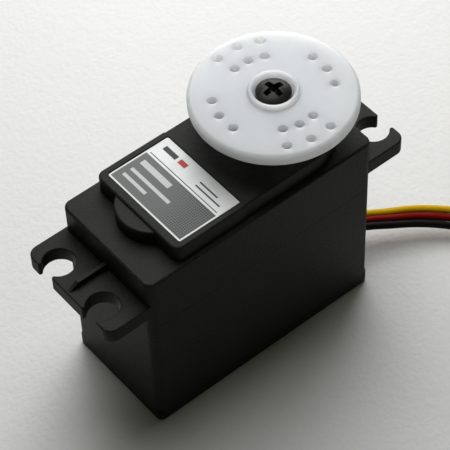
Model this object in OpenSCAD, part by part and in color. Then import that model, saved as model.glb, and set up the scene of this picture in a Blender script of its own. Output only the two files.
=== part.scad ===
// Hobby servo motor, continuous turning, with a round horn and a three-wire lead.
// The origin is at the middle of the base, +X points to the output end and +Z up. Sizes are in millimetres.

/* [Case] */
// Length of the case without its tabs
case_length = 40.4; // [40:0.1:50]
// Width of the case
case_width = 19.6; // [19.3:0.1:24]
// Radius of the upright corners of the case
case_corner_r = 1.4; // [0.6:0.1:2]
// Thickness of the case walls
wall = 1.2; // [0.9:0.05:1.4]
// Height of the shoulder that runs round the top of the case
shoulder_z = 31.6; // [31.4:0.1:40]
// Thickness of the roof over the shoulder and over the platform
roof = 1.2; // [0.9:0.05:1.5]
// Height of the raised platform above the shoulder
platform_rise = 2.8; // [2.4:0.1:4]
// Width of the ledge between the platform and the long sides
ledge = 0.8; // [0.3:0.05:1]
// How much deeper the ledge is beside the horn than beside the label
ledge_step = 0.15; // [0:0.05:0.3]
// Distance from the motor end of the case to the platform
platform_setback = 5.6; // [5:0.1:7]
// Radius of the platform's two square corners
platform_corner_r = 1.3; // [0.4:0.1:2]
// Radius of the half-round bulge at the motor end of the platform
bulge_r = 5.5; // [4:0.1:6.5]
// Distance from the motor end of the case to the bulge's centre
bulge_setback = 8.9; // [8:0.1:11]
// How far the bulge's top lies below the platform's top
bulge_drop = 0.4; // [0.2:0.1:1]
// Radius of the collar round the output shaft
collar_r = 6.2; // [6:0.1:7]
// Height of the collar above the platform
collar_rise = 1; // [0.8:0.1:1.6]
// Height of the bottom cover's outer edge
cover_h = 2; // [1.8:0.1:2.6]
// Thickness of the bottom cover's floor
cover_floor = 1.2; // [1:0.1:1.5]
// Radius of the bottom cover's corners
cover_corner_r = 1; // [0.4:0.1:1.6]
// Height of the bottom cover's inner lip above its edge
lip_h = 0.9; // [0.6:0.1:1.2]
// Thickness of the bottom cover's inner lip
lip_thick = 0.8; // [0.6:0.1:1]
// Free space round the bottom cover's inner lip
lip_gap = 0.1; // [0.05:0.01:0.15]
// Height of the moulded line round the case
line_z = 21.9; // [20:0.1:23.5]
// Depth and height of the moulded line
line_depth = 0.05; // [0.05:0.01:0.2]
// Height of the gear plate's underside
plate_z = 21.5; // [20.6:0.1:21.8]
// Thickness of the gear plate
plate_thick = 1.6; // [1.2:0.1:2]

/* [Mounting tabs] */
// Distance that each tab reaches from the end of the case
tab_reach = 6.8; // [6.6:0.1:9]
// Width of a tab
tab_width = 18.9; // [18:0.1:19.6]
// Thickness of a tab
tab_thick = 2.5; // [2:0.1:3]
// Height of the tabs' underside
tab_under_z = 24.5; // [23.5:0.1:26]
// Radius of the tabs' outer corners
tab_corner_r = 1.6; // [0.8:0.1:2]
// Distance from the end of the case to the slot centres
slot_reach = 4.4; // [3:0.1:4.6]
// Distance between the slot centres across the case
slot_spacing_y = 10; // [9:0.1:11]
// Radius of a mounting slot
slot_r = 2.4; // [2:0.05:2.6]
// Width of the slot's open mouth
slot_mouth = 2.9; // [2.4:0.1:3.2]
// Thickness of the rib on each tab
rib_thick = 0.7; // [0.5:0.1:1]
// Height of the rib
rib_rise = 1; // [0.6:0.1:1.6]
// Length of the rib along its top
rib_top = 4.9; // [3:0.1:5]
// Length of the rib along its foot
rib_foot = 6.6; // [5:0.1:6.7]

/* [Case screws] */
// Radius of a case screw's shank
screw_r = 0.95; // [0.8:0.05:1.1]
// Radius of a case screw's head
screw_head_r = 1.75; // [1.5:0.05:1.9]
// Height of a case screw's head
screw_head_h = 0.8; // [0.6:0.1:0.9]
// Distance of a case screw from the case's faces
screw_inset = 2.6; // [2.5:0.1:2.8]
// Radius of the posts that the case screws pass through
post_r = 1.7; // [1.5:0.05:1.75]
// Free space round a screw in the pieces that it clamps
screw_gap = 0.15; // [0.1:0.01:0.2]
// Distance from a case screw's tip to the roof
screw_tip_gap = 0.6; // [0.4:0.1:1.5]

/* [Gear train] */
// Module of all the gears
gear_module = 0.4; // [0.32:0.01:0.4]
// Teeth of each large gear, an even number
wheel_teeth = 40; // [36:2:40]
// Teeth of each small gear, an even number
pinion_teeth = 10; // [10:2:12]
// Pressure angle of the teeth in degrees
pressure_angle = 25; // [22:0.5:27]
// Height of a tooth outside the pitch circle, in modules
addendum = 0.8; // [0.7:0.05:0.85]
// Depth of a tooth inside the pitch circle, in modules
dedendum = 1.05; // [1:0.05:1.15]
// What is taken off each flank, so that the teeth run freely
backlash = 0.035; // [0.02:0.005:0.05]
// Width of the gear faces
gear_face = 1.4; // [1.2:0.1:1.5]
// Free height between gears
gear_gap = 0.3; // [0.2:0.05:0.35]
// Distance from the output end of the case to the output axis
output_setback = 10.05; // [9.8:0.05:11]
// Radius of the pin that carries the first and third gears
gear_pin_r = 0.75; // [0.6:0.05:0.9]
// Radius of the output shaft below its gear
journal_r = 1; // [0.8:0.05:1.1]
// Outer radius of the bush below the output shaft
bush_r = 2.2; // [1.8:0.1:2.6]
// Free space round a shaft that turns
running_gap = 0.05; // [0.02:0.01:0.08]
// Free space between pieces that are pressed or laid together
seat_gap = 0.02; // [0.01:0.01:0.04]

/* [Output bearing] */
// Radius of the output shaft in the ball bearing
shaft_r = 3; // [2.8:0.05:3.1]
// Outer radius of the ball bearing
bearing_r = 5; // [4.9:0.05:5.2]
// Width of the ball bearing
bearing_w = 2.5; // [2.2:0.1:2.8]
// Radius of a bearing ball
ball_r = 0.6; // [0.5:0.05:0.65]
// Number of bearing balls
ball_count = 9; // [7:1:12]
// Distance from the balls' circle to each ring as a share of a ball's radius
race_share = 0.6; // [0.5:0.05:0.7]
// Thickness of the ball cage
cage_thick = 0.3; // [0.2:0.05:0.35]
// Height of the ball cage
cage_h = 1.8; // [1.6:0.1:2]
// Free space round a ball in its track
ball_gap = 0.04; // [0.03:0.01:0.06]
// Thickness of the collar's rim over the bearing
rim_thick = 0.6; // [0.4:0.1:0.8]

/* [Horn] */
// Radius of the round horn
horn_r = 12.05; // [11:0.05:14]
// Thickness of the horn's disc
horn_thick = 2; // [1.6:0.1:2.4]
// Rounding of the disc's edge
horn_edge_r = 0.6; // [0.3:0.1:0.8]
// Height of the disc's underside above the collar
horn_lift = 3.5; // [3:0.1:4]
// Radius of the horn's hub
hub_r = 4.4; // [4:0.1:5]
// Free height between the hub and the collar
hub_gap = 0.4; // [0.3:0.05:0.6]
// Outer radius of the ring round the horn screw
ring_r = 3.6; // [3.4:0.05:4]
// Height of the ring above the disc
ring_rise = 0.6; // [0.3:0.05:0.8]
// Radius of the recess for the screw's head
recess_r = 3; // [2.8:0.05:3.2]
// Thickness of the web under the screw's head
web_thick = 1.1; // [0.7:0.1:1.2]
// Radius of the horn's fixing holes
horn_hole_r = 0.72; // [0.5:0.02:0.85]
// Radius of the inner row of fixing holes
row_inner = 7; // [6.6:0.1:7.4]
// Radius of the middle row of fixing holes
row_middle = 8.6; // [8:0.05:9]
// Radius of the outer row of fixing holes
row_outer = 10.1; // [9.6:0.1:10.3]
// Angle between neighbouring holes of a row
hole_step = 20; // [16:1:24]
// Angle that the horn is turned to
horn_turn = -10; // [-45:1:45]
// Teeth of the spline that carries the horn
spline_teeth = 24; // [20:1:25]
// Outer radius of the spline
spline_r = 2.9; // [2.7:0.05:2.95]
// Depth of the spline's teeth
spline_depth = 0.3; // [0.2:0.05:0.4]
// Radius of the horn screw's shank
horn_screw_r = 1.25; // [1:0.05:1.4]
// Length of the horn screw's shank
horn_screw_length = 7; // [5:0.5:8]
// Radius of the horn screw's head
horn_screw_head_r = 2.55; // [2.2:0.05:2.7]
// Height of the horn screw's head
horn_screw_head_h = 1.7; // [1.4:0.1:2]
// Height of the horn screw's head above the ring
head_stand = 0.2; // [0:0.05:0.4]
// Width of the cross recess in the screws
cross_width = 0.5; // [0.4:0.05:0.6]
// Reach of the cross recess as a share of a head's radius
cross_reach = 0.6; // [0.4:0.05:0.7]
// Depth of the cross recess as a share of a head's height
cross_depth = 0.6; // [0.4:0.05:0.7]

/* [Label] */
// Length of the label along the case
label_length = 10.6; // [9:0.1:11]
// Width of the label across the case
label_width = 15.8; // [14:0.1:16.4]
// Radius of the label's corners
label_corner_r = 0.25; // [0.1:0.05:1]
// Thickness of the label
label_thick = 0.15; // [0.1:0.01:0.2]
// Depth of the label's pocket in the platform
pocket_depth = 0.3; // [0.2:0.05:0.4]
// Distance from the platform's motor end to the pocket
pocket_border = 1.3; // [1:0.1:2]
// Free space round the label in its pocket
label_gap = 0.1; // [0.05:0.05:0.2]

/* [Motor] */
// Radius of the motor's can
can_r = 7.8; // [7:0.1:7.9]
// Height of the bottom of the motor's can
can_z = 5.4; // [5:0.1:6.5]
// Thickness of the motor's can
can_wall = 0.8; // [0.6:0.05:1]
// Radius of the boss on the motor's front
can_boss_r = 3; // [2.6:0.1:3.4]
// Radius of the motor's shaft
motor_shaft_r = 1; // [0.8:0.05:1.1]
// Depth of the motor's end cap inside the can
end_cap_depth = 1.6; // [1.2:0.1:2]
// Thickness of the end cap's flange
end_cap_flange = 0.8; // [0.6:0.1:1]
// Thickness of the motor's magnets
magnet_thick = 1.2; // [1:0.1:1.4]
// Angle that each magnet spans
magnet_angle = 110; // [90:2:130]
// Length of the motor's magnets
magnet_length = 10; // [8:0.5:11]
// Radius of the motor's armature
armature_r = 5.2; // [4.6:0.1:5.4]
// Radius of the armature's hub
armature_hub_r = 2; // [1.8:0.1:2.1]
// Thickness of the armature's pole faces
pole_thick = 0.8; // [0.6:0.1:1]
// Angle that each pole face spans
pole_angle = 100; // [80:2:108]
// Length of the motor's armature
armature_length = 7; // [6:0.5:8]
// Width of the armature's arms
arm_width = 2.2; // [2:0.1:2.6]
// Thickness of the wire wound on each arm
winding_thick = 0.7; // [0.5:0.05:0.8]
// Radius of the motor's commutator
commutator_r = 1.9; // [1.7:0.1:2.2]
// Length of the motor's commutator
commutator_length = 2; // [1.6:0.1:2.4]
// Width of a brush
brush_width = 1.2; // [1:0.1:1.4]
// Length of a brush
brush_length = 1.6; // [1.2:0.1:2]
// Width of a motor terminal
terminal_width = 1.6; // [1.2:0.1:2]
// Thickness of a motor terminal
terminal_thick = 0.4; // [0.3:0.05:0.5]
// Distance of a motor terminal from the motor's axis
terminal_y = 4.9; // [4.5:0.1:5.5]
// How far the terminals stand out below the board
terminal_stub = 0.3; // [0.1:0.05:0.5]
// Radius of the two screws that hold the motor
motor_screw_r = 0.8; // [0.6:0.05:0.9]
// Radius of the motor screws' heads
motor_screw_head_r = 1.4; // [1.2:0.1:1.6]
// Height of the motor screws' heads
motor_screw_head_h = 0.6; // [0.4:0.1:0.8]
// Distance of the motor screws from the motor's axis
motor_screw_reach = 5.4; // [5:0.1:5.6]

/* [Circuit board] */
// Thickness of the circuit board
board_thick = 0.8; // [0.6:0.1:1]
// Radius of the circuit board's corners
board_corner_r = 0.5; // [0.2:0.1:1]
// Free space round the board
board_gap = 0.3; // [0.2:0.05:0.5]
// Length, width and height of the control chip
control_chip_size = [6, 4.4, 1.5]; // [1:0.1:7]
// Place of the control chip, from the motor's edge and from the middle
control_chip_at = [4, -4.6]; // [-6:0.1:12]
// Length, width and height of a switching chip
bridge_chip_size = [5, 3, 1.6]; // [1:0.1:6]
// Place of the first switching chip
bridge_chip_at = [9.5, 1.6]; // [-6:0.1:12]
// Distance between the switching chips
bridge_chip_pitch = 4; // [3.4:0.1:5]
// Length, width and height of a fixed resistor
resistor_size = [3, 1.1, 0.7]; // [0.5:0.1:4]
// Place of the first fixed resistor
resistor_at = [9, -6.6]; // [-7:0.1:12]
// Distance between the fixed resistors
resistor_pitch = 1.8; // [1.4:0.1:2.5]
// Place of the smoothing capacitor
capacitor_at = [4, 3.6]; // [-6:0.1:12]
// Radius of the smoothing capacitor
capacitor_r = 2.5; // [2:0.1:2.8]
// Height of the smoothing capacitor
capacitor_h = 9; // [6:0.5:11]

/* [Lead] */
// Diameter of one wire over its insulation
wire_d = 1.2; // [1:0.05:1.2]
// Distance between neighbouring wires
wire_pitch = 1.25; // [1.24:0.01:1.4]
// Rubber of the grommet beside the wires
grommet_margin = 0.45; // [0.3:0.05:0.8]
// Thickness of the grommet's outer face
grommet_face = 0.7; // [0.4:0.05:1.4]
// How much wider the grommet's outer face is on each side
grommet_flange = 0.4; // [0.2:0.05:0.6]
// Radius of the corners of the grommet's outer face
grommet_corner_r = 0.9; // [0.4:0.1:1.2]
// How far the grommet stands into the case
grommet_inner = 0.6; // [0.3:0.05:1]
// Length of the wires inside the case
inner_wire_length = 5; // [3:0.5:8]
// Free space between the turns of the put-away lead
coil_gap = 0.5; // [0.45:0.05:0.8]
// Radius of the innermost turn of the put-away lead
coil_inner_r = 7.5; // [7:0.1:9]
// Length of the connector's housing
connector_length = 14; // [12:0.5:15]
// Height of the connector's housing
connector_h = 2.8; // [2.4:0.1:3]
// Distance between the connector's contacts
contact_pitch = 2.54; // [2.5:0.01:2.6]
// Width of a contact in the connector
contact_width = 1.6; // [1.2:0.1:1.8]
// Width of the opening in a contact
contact_bore = 0.8; // [0.64:0.02:1]
// Thickness of the connector's back wall
connector_back = 1.2; // [0.8:0.1:2]
// Angle round the coil at which the tie sits
tie_angle = 200; // [190:5:210]
// Free space inside the tie
tie_gap = 0.1; // [0.05:0.05:0.2]
// Width of the tie round the put-away lead
tie_width = 2.5; // [2:0.1:4]
// Thickness of the tie
tie_thick = 0.35; // [0.3:0.05:0.4]

/* [Hidden] */
$fn = 64;

// Small lift that lets a cut pass clean through a face
pass = 0.5;
// Points along one flank of a tooth
flank_steps = 4;

// Places along the case
end_x = case_length / 2;
tab_span = case_length + 2 * tab_reach;
slot_spacing_x = case_length + 2 * slot_reach;
output_x = end_x - output_setback;
axis_distance = gear_module * (wheel_teeth + pinion_teeth) / 2;
pin_x = output_x - axis_distance;
motor_x = pin_x - axis_distance;
screw_x = end_x - screw_inset;
screw_y = case_width / 2 - screw_inset;
inner_length = case_length - 2 * wall;
inner_width = case_width - 2 * wall;
inner_corner_r = max(case_corner_r - wall, 0.3);
platform_x = -end_x + platform_setback;
platform_half = case_width / 2 - ledge;
bulge_x = -end_x + bulge_setback;
label_x = platform_x + pocket_border + label_gap + label_length / 2;
frame_end_x = label_x + label_length / 2 + 2 * label_gap;

// Heights, from the base up
tab_top_z = tab_under_z + tab_thick;
platform_z = shoulder_z + platform_rise;
platform_roof_z = platform_z - pocket_depth - roof;
shoulder_roof_z = shoulder_z - roof;
screw_tip_z = shoulder_roof_z - screw_tip_gap;
plate_top_z = plate_z + plate_thick;
gear_step = gear_face + gear_gap;
first_z = plate_top_z + gear_gap;
second_z = first_z + gear_step;
third_z = second_z + gear_step;
output_z = third_z + gear_step;
collar_z = platform_z + collar_rise;
ball_track_r = (shaft_r + bearing_r) / 2;
bearing_top_z = collar_z - rim_thick;
bearing_z = bearing_top_z - bearing_w;
horn_z = collar_z + horn_lift;
horn_top_z = horn_z + horn_thick;
web_z = horn_top_z + ring_rise + head_stand - horn_screw_head_h - web_thick;
head_z = web_z + web_thick;
board_z = cover_h + lip_h;
board_top_z = board_z + board_thick;
board_length = 2 * (screw_x - post_r - board_gap);
board_width = inner_width - 2 * board_gap;
board_free_x = motor_x + can_r;
cap_inner_r = can_r - can_wall - seat_gap;
cap_low_z = can_z - end_cap_flange;
cap_top_z = can_z + end_cap_depth;
commutator_z = cap_top_z + 2 * gear_gap;
armature_z = commutator_z + commutator_length + winding_thick + gear_gap;
magnet_z = armature_z + armature_length / 2 - magnet_length / 2;

// Rounded rectangle about the middle
module rounded_rect(length, width, r) {
    square([length - 2 * r, width], center = true);
    square([length, width - 2 * r], center = true);
    for (x = [-1, 1], y = [-1, 1])
        translate([x * (length / 2 - r), y * (width / 2 - r)])
            circle(r);
}

// Block with rounded upright corners, from one height to another
module slab(length, width, r, low, high) {
    translate([0, 0, low])
        linear_extrude(high - low)
            rounded_rect(length, width, r);
}

// Upright cylinder at a place, from one height to another
module post(x, y, r, low, high) {
    translate([x, y, low])
        cylinder(r = r, h = high - low);
}

// The same thing at the four case screws
module at_case_screws() {
    for (x = [-1, 1], y = [-1, 1])
        translate([x * screw_x, y * screw_y, 0])
            children();
}

// Cross recess of a screw, cut down from the given height
module cross_cut(reach, depth, top) {
    for (a = [0, 90])
        rotate([0, 0, a])
            translate([-reach, -cross_width / 2, top - depth])
                cube([2 * reach, cross_width, depth + pass]);
}

// Outline of the platform, smaller all round by the given inset: a frame for the label, and a rounded rest
module platform_outline(inset) {
    half = platform_half - inset;
    rest = half - ledge_step;
    left = platform_x + inset;
    r = max(platform_corner_r - inset, 0.2);
    translate([left + r, -half])
        square([frame_end_x - left - r, 2 * half]);
    translate([left, -half + r])
        square([2 * r, 2 * (half - r)]);
    for (y = [-1, 1])
        translate([left + r, y * (half - r)])
            circle(r);
    translate([left + r, -rest])
        square([output_x - left - r, 2 * rest]);
    translate([output_x, 0])
        circle(rest);
}

// Point in the plane at a radius and an angle
function polar(r, a) = [r * cos(a), r * sin(a)];

// Angle in degrees that an involute has wound off at the pressure angle a
function involute(a) = tan(a) * 180 / PI - a;

// Half of a tooth's angle at radius r
function half_tooth(teeth, r) =
    let (pitch_r = gear_module * teeth / 2)
    90 / teeth - backlash / pitch_r * 180 / PI
    + involute(pressure_angle) - involute(acos(min(1, pitch_r * cos(pressure_angle) / r)));

// Outline of a gear with a tooth on +X
function gear_outline(teeth) =
    let (
        pitch_r = gear_module * teeth / 2,
        tip_r = pitch_r + addendum * gear_module,
        root_r = pitch_r - dedendum * gear_module,
        low_r = max(root_r, pitch_r * cos(pressure_angle)),
        rows = [for (i = [0:flank_steps]) low_r + (tip_r - low_r) * i / flank_steps],
        flank = [for (r = rows) [r, half_tooth(teeth, r)]],
        foot = root_r < low_r - 0.01 ? [[root_r, flank[0][1]]] : [],
        side = concat(foot, flank),
        tooth = concat([for (p = side) [p[0], -p[1]]], [for (i = [len(side) - 1:-1:0]) side[i]])
    )
    [for (t = [0:teeth - 1], p = tooth) polar(p[0], 360 * t / teeth + p[1])];

// Toothed disc, turned so that a gap and not a tooth lies on the X axis where gap_on_x is 1
module gear_disc(teeth, low, high, gap_on_x) {
    translate([0, 0, low])
        rotate([0, 0, gap_on_x * 180 / teeth])
            linear_extrude(high - low)
                polygon(gear_outline(teeth));
}

// Large gear with a small one on top of it, in one piece, with a bore
module double_gear(low, bore_r) {
    difference() {
        union() {
            gear_disc(wheel_teeth, low, low + gear_face, 1);
            gear_disc(pinion_teeth, low + gear_face / 2, low + gear_face + gear_step, 0);
        }
        post(0, 0, bore_r, low - pass, low + gear_face + gear_step + pass);
    }
}

// Corners of one spline tooth: place within the tooth's share of a turn, and 0 at its foot or 1 at its tip
spline_tooth = [[-0.25, 0], [-0.12, 1], [0.12, 1], [0.25, 0]];

// Outline of the spline with its tips at radius r
function spline_outline(r) =
    [for (t = [0:spline_teeth - 1], p = spline_tooth)
        polar(r - spline_depth * (1 - p[1]), 360 * (t + p[0]) / spline_teeth)];

// Bottom cover: a shallow tray with a lip that fits into the middle case
module bottom_cover() {
    lip_length = inner_length - 2 * lip_gap;
    lip_width = inner_width - 2 * lip_gap;
    color([0.1, 0.1, 0.1])
    difference() {
        union() {
            difference() {
                slab(case_length, case_width, cover_corner_r, 0, cover_h);
                slab(inner_length - 2 * lip_thick, inner_width - 2 * lip_thick, inner_corner_r,
                    cover_floor, cover_h + pass);
            }
            difference() {
                slab(lip_length, lip_width, inner_corner_r, cover_h, cover_h + lip_h);
                slab(lip_length - 2 * lip_thick, lip_width - 2 * lip_thick, inner_corner_r,
                    cover_h - pass, board_z + pass);
                at_case_screws()
                    post(0, 0, post_r + board_gap, cover_h - pass, board_z + pass);
                translate([end_x - 2 * wall, grommet_y - grommet_width / 2 - board_gap, cover_h])
                    cube([2 * wall, grommet_width + 2 * board_gap, lip_h + pass]);
            }
            at_case_screws()
                post(0, 0, post_r, 0, cover_h);
        }
        at_case_screws() {
            post(0, 0, screw_r + screw_gap, -pass, cover_h + pass);
            post(0, 0, screw_head_r + screw_gap, -pass, screw_head_h + screw_gap);
        }
    }
}

// Outline of both tabs with their open slots
module tab_outline() {
    difference() {
        rounded_rect(tab_span, tab_width, tab_corner_r);
        for (x = [-1, 1], y = [-1, 1])
            translate([x * slot_spacing_x / 2, y * slot_spacing_y / 2]) {
                circle(slot_r);
                translate([x > 0 ? 0 : -tab_span, -slot_mouth / 2])
                    square([tab_span, slot_mouth]);
            }
    }
}

// Rib on a tab, from the end wall outwards, sloping down at its end
module tab_rib() {
    start = end_x;
    translate([0, rib_thick / 2, 0])
        rotate([90, 0, 0])
            linear_extrude(rib_thick)
                polygon([
                    [start - wall / 2, tab_top_z - tab_thick / 2],
                    [start + rib_foot, tab_top_z - tab_thick / 2], [start + rib_foot, tab_top_z],
                    [start + rib_top, tab_top_z + rib_rise],
                    [start + seat_gap, tab_top_z + rib_rise], [start + seat_gap, tab_top_z - tab_thick / 4],
                    [start - wall / 2, tab_top_z - tab_thick / 4]
                ]);
}

// Middle case: the walls, the tabs, the gear plate and the screw posts
module middle_case() {
    color([0.1, 0.1, 0.1])
    difference() {
        union() {
            difference() {
                union() {
                    slab(case_length, case_width, case_corner_r, cover_h, tab_top_z);
                    translate([0, 0, tab_under_z])
                        linear_extrude(tab_thick)
                            tab_outline();
                }
                slab(inner_length, inner_width, inner_corner_r, cover_h - pass, plate_z);
                slab(inner_length, inner_width, inner_corner_r, plate_top_z, tab_top_z + pass);
                difference() {
                    slab(2 * case_length, 2 * case_width, case_corner_r, line_z, line_z + line_depth);
                    slab(case_length - 2 * line_depth, case_width - 2 * line_depth, case_corner_r,
                        line_z - pass, line_z + pass);
                }
            }
            at_case_screws()
                post(0, 0, post_r, cover_h, tab_top_z);
            for (a = [0, 180])
                rotate([0, 0, a])
                    tab_rib();
            post(output_x, 0, bush_r + wall, plate_z - wall, plate_z + wall / 2);
        }
        at_case_screws()
            post(0, 0, screw_r + screw_gap, cover_h - pass, tab_top_z + pass);
        post(motor_x, 0, can_boss_r + running_gap, plate_z - pass, plate_top_z + pass);
        for (y = [-1, 1])
            post(motor_x, y * motor_screw_reach, motor_screw_r + screw_gap,
                plate_z - pass, plate_top_z + pass);
        post(output_x, 0, bush_r + seat_gap, plate_z - wall - pass, plate_top_z + pass);
        post(pin_x, 0, gear_pin_r + seat_gap, plate_z - pass, plate_top_z + pass);
        translate([end_x - 2 * wall, grommet_y - grommet_width / 2 - seat_gap, cover_h - pass])
            cube([3 * wall, grommet_width + 2 * seat_gap, grommet_h + pass + seat_gap]);
    }
}

// Top case: walls, shoulder, platform with the label's pocket, bulge, collar and inner bosses
module top_case() {
    color([0.1, 0.1, 0.1])
    difference() {
        union() {
            difference() {
                union() {
                    slab(case_length, case_width, case_corner_r, tab_top_z, shoulder_z);
                    translate([0, 0, shoulder_z - roof / 2])
                        linear_extrude(platform_rise + roof / 2)
                            platform_outline(0);
                    post(bulge_x, 0, bulge_r, shoulder_z - roof / 2, platform_z - bulge_drop);
                    post(output_x, 0, collar_r, platform_z - roof / 2, collar_z);
                }
                slab(inner_length, inner_width, inner_corner_r, tab_top_z - pass, shoulder_roof_z);
                translate([0, 0, shoulder_roof_z - pass])
                    linear_extrude(platform_roof_z - shoulder_roof_z + pass)
                        platform_outline(wall);
                post(bulge_x, 0, bulge_r - wall, shoulder_roof_z - pass, platform_z - bulge_drop - roof);
            }
            at_case_screws()
                post(0, 0, post_r, tab_top_z, shoulder_z - roof / 2);
            post(pin_x, 0, gear_pin_r + wall, output_z + gear_face + gear_gap, platform_roof_z + roof / 2);
            post(output_x, 0, collar_r, bearing_z - seat_gap, platform_roof_z + roof / 2);
        }
        at_case_screws()
            post(0, 0, screw_r + seat_gap, tab_top_z - pass, screw_tip_z + screw_gap);
        post(pin_x, 0, gear_pin_r + seat_gap, output_z, platform_roof_z);
        post(output_x, 0, bearing_r + seat_gap, bearing_z - pass, bearing_top_z);
        post(output_x, 0, ball_track_r, bearing_top_z - pass, collar_z + pass);
        translate([label_x, 0, 0])
            slab(label_length + 2 * label_gap, label_width + 2 * label_gap, label_corner_r + label_gap,
                platform_z - pocket_depth, platform_z + pass);
    }
}

// Four long screws that clamp the three shells together
module case_screws() {
    color([0.2, 0.2, 0.21])
    at_case_screws()
        difference() {
            union() {
                post(0, 0, screw_r, screw_head_h / 2, screw_tip_z);
                post(0, 0, screw_head_r, screw_gap, screw_head_h + screw_gap);
            }
            translate([0, 0, screw_gap])
                mirror([0, 0, 1])
                    cross_cut(screw_head_r * cross_reach, screw_head_h * cross_depth, 0);
        }
}

// Printed label in the platform's pocket
module label() {
    low = platform_z - pocket_depth;
    color([0.78, 0.79, 0.81])
    translate([label_x, 0, 0])
        slab(label_length, label_width, label_corner_r, low, low + label_thick);
}

// Profile of the horn's disc, hub and ring, from the axis outwards
module horn_profile() {
    hub_z = collar_z + hub_gap;
    e = horn_edge_r;
    translate([0, hub_z])
        square([hub_r, horn_z - hub_z + e]);
    translate([0, horn_z])
        square([horn_r - e, horn_thick]);
    translate([0, horn_z + e])
        square([horn_r, horn_thick - 2 * e]);
    for (z = [horn_z + e, horn_top_z - e])
        translate([horn_r - e, z])
            circle(e);
    translate([0, horn_top_z - e])
        square([ring_r, ring_rise + e]);
}

// Rows of fixing holes: the angle of each group's middle and the radii of its rows
hole_groups = [
    [0, [row_middle]], [90, [row_inner, row_outer]], [180, [row_middle]], [270, [row_inner, row_outer]]
];

// Round horn with its fixing holes, spline socket and screw recess
module wheel_horn() {
    color([0.9, 0.91, 0.93])
    translate([output_x, 0, 0])
    rotate([0, 0, horn_turn])
        difference() {
            rotate_extrude()
                horn_profile();
            for (group = hole_groups, r = group[1], k = [-1:1])
                rotate([0, 0, group[0] + k * hole_step])
                    post(r, 0, horn_hole_r, horn_z - pass, horn_top_z + pass);
            translate([0, 0, collar_z])
                linear_extrude(web_z - collar_z)
                    polygon(spline_outline(spline_r + seat_gap));
            post(0, 0, horn_screw_r + screw_gap, web_z - pass, head_z + pass);
            post(0, 0, recess_r, head_z, head_z + horn_thick + ring_rise);
        }
}

// Pan-head screw that holds the horn on the output shaft
module horn_screw() {
    dome = horn_screw_head_h / 2;
    color([0.08, 0.08, 0.08])
    translate([output_x, 0, 0])
        difference() {
            union() {
                post(0, 0, horn_screw_r, head_z - horn_screw_length, head_z + dome);
                translate([0, 0, head_z])
                    rotate_extrude() {
                        square([horn_screw_head_r, horn_screw_head_h - dome]);
                        square([horn_screw_head_r - dome, horn_screw_head_h]);
                        translate([horn_screw_head_r - dome, horn_screw_head_h - dome])
                            intersection() {
                                circle(dome);
                                square(2 * dome);
                            }
                    }
            }
            cross_cut(horn_screw_head_r * cross_reach, horn_screw_head_h * cross_depth,
                head_z + horn_screw_head_h);
        }
}

// Output gear in one piece with the shaft, from the lower journal to the spline
module output_gear() {
    spline_z = collar_z - rim_thick / 2;
    color([0.85, 0.83, 0.76])
    translate([output_x, 0, 0])
        difference() {
            union() {
                gear_disc(wheel_teeth, output_z, output_z + gear_face, 1);
                post(0, 0, journal_r, plate_z, output_z + gear_face / 2);
                post(0, 0, shaft_r + wall / 2, output_z + gear_face / 2, bearing_z - seat_gap);
                post(0, 0, shaft_r, output_z + gear_face / 2, spline_z);
                translate([0, 0, bearing_top_z + seat_gap])
                    rotate([0, 0, horn_turn])
                        linear_extrude(web_z - bearing_top_z - 2 * seat_gap)
                            polygon(spline_outline(spline_r));
            }
            post(0, 0, horn_screw_r + seat_gap, head_z - horn_screw_length - pass, web_z + pass);
        }
}

// Middle of the ball bearing
module at_bearing() {
    translate([output_x, 0, bearing_z + bearing_w / 2])
        children();
}

// One ring of the ball bearing, between two radii, with its track
module bearing_ring(inner, outer) {
    color([0.72, 0.73, 0.75])
    at_bearing()
        rotate_extrude()
            difference() {
                translate([inner, -bearing_w / 2])
                    square([outer - inner, bearing_w]);
                translate([ball_track_r, 0])
                    circle(ball_r + ball_gap);
            }
}

// Outer ring, held in the collar
module bearing_outer_ring() {
    bearing_ring(ball_track_r + ball_r * race_share, bearing_r);
}

// Inner ring, carried by the output shaft
module bearing_inner_ring() {
    bearing_ring(shaft_r + seat_gap, ball_track_r - ball_r * race_share);
}

// Bearing balls
module bearing_balls() {
    color([0.8, 0.81, 0.83])
    at_bearing()
        for (i = [0:ball_count - 1])
            rotate([0, 0, 360 * i / ball_count])
                translate([ball_track_r, 0, 0])
                    sphere(ball_r);
}

// Cage that keeps the balls apart
module bearing_cage() {
    color([0.7, 0.55, 0.25])
    at_bearing()
        difference() {
            rotate_extrude()
                translate([ball_track_r - cage_thick / 2, -cage_h / 2])
                    square([cage_thick, cage_h]);
            for (i = [0:ball_count - 1])
                rotate([0, 0, 360 * i / ball_count])
                    translate([ball_track_r - cage_thick, 0, 0])
                        rotate([0, 90, 0])
                            cylinder(r = ball_r + ball_gap, h = 2 * cage_thick);
        }
}

// Plain bush for the lower end of the output shaft
module output_bush() {
    color([0.72, 0.52, 0.25])
    difference() {
        post(output_x, 0, bush_r, plate_z - wall, plate_top_z);
        post(output_x, 0, journal_r + running_gap, plate_z - wall - pass, plate_top_z + pass);
    }
}

// First gear, turned by the motor's pinion
module first_gear() {
    color([0.86, 0.84, 0.78])
    translate([pin_x, 0, 0])
        double_gear(first_z, gear_pin_r + running_gap);
}

// Second gear, which turns freely on the output shaft
module second_gear() {
    color([0.86, 0.84, 0.78])
    translate([output_x, 0, 0])
        double_gear(second_z, journal_r + running_gap);
}

// Third gear, which drives the output gear
module third_gear() {
    color([0.86, 0.84, 0.78])
    translate([pin_x, 0, 0])
        double_gear(third_z, gear_pin_r + running_gap);
}

// Steel pin of the first and third gears
module gear_pin() {
    color([0.75, 0.76, 0.78])
    post(pin_x, 0, gear_pin_r, plate_z, platform_roof_z - seat_gap);
}

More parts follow.
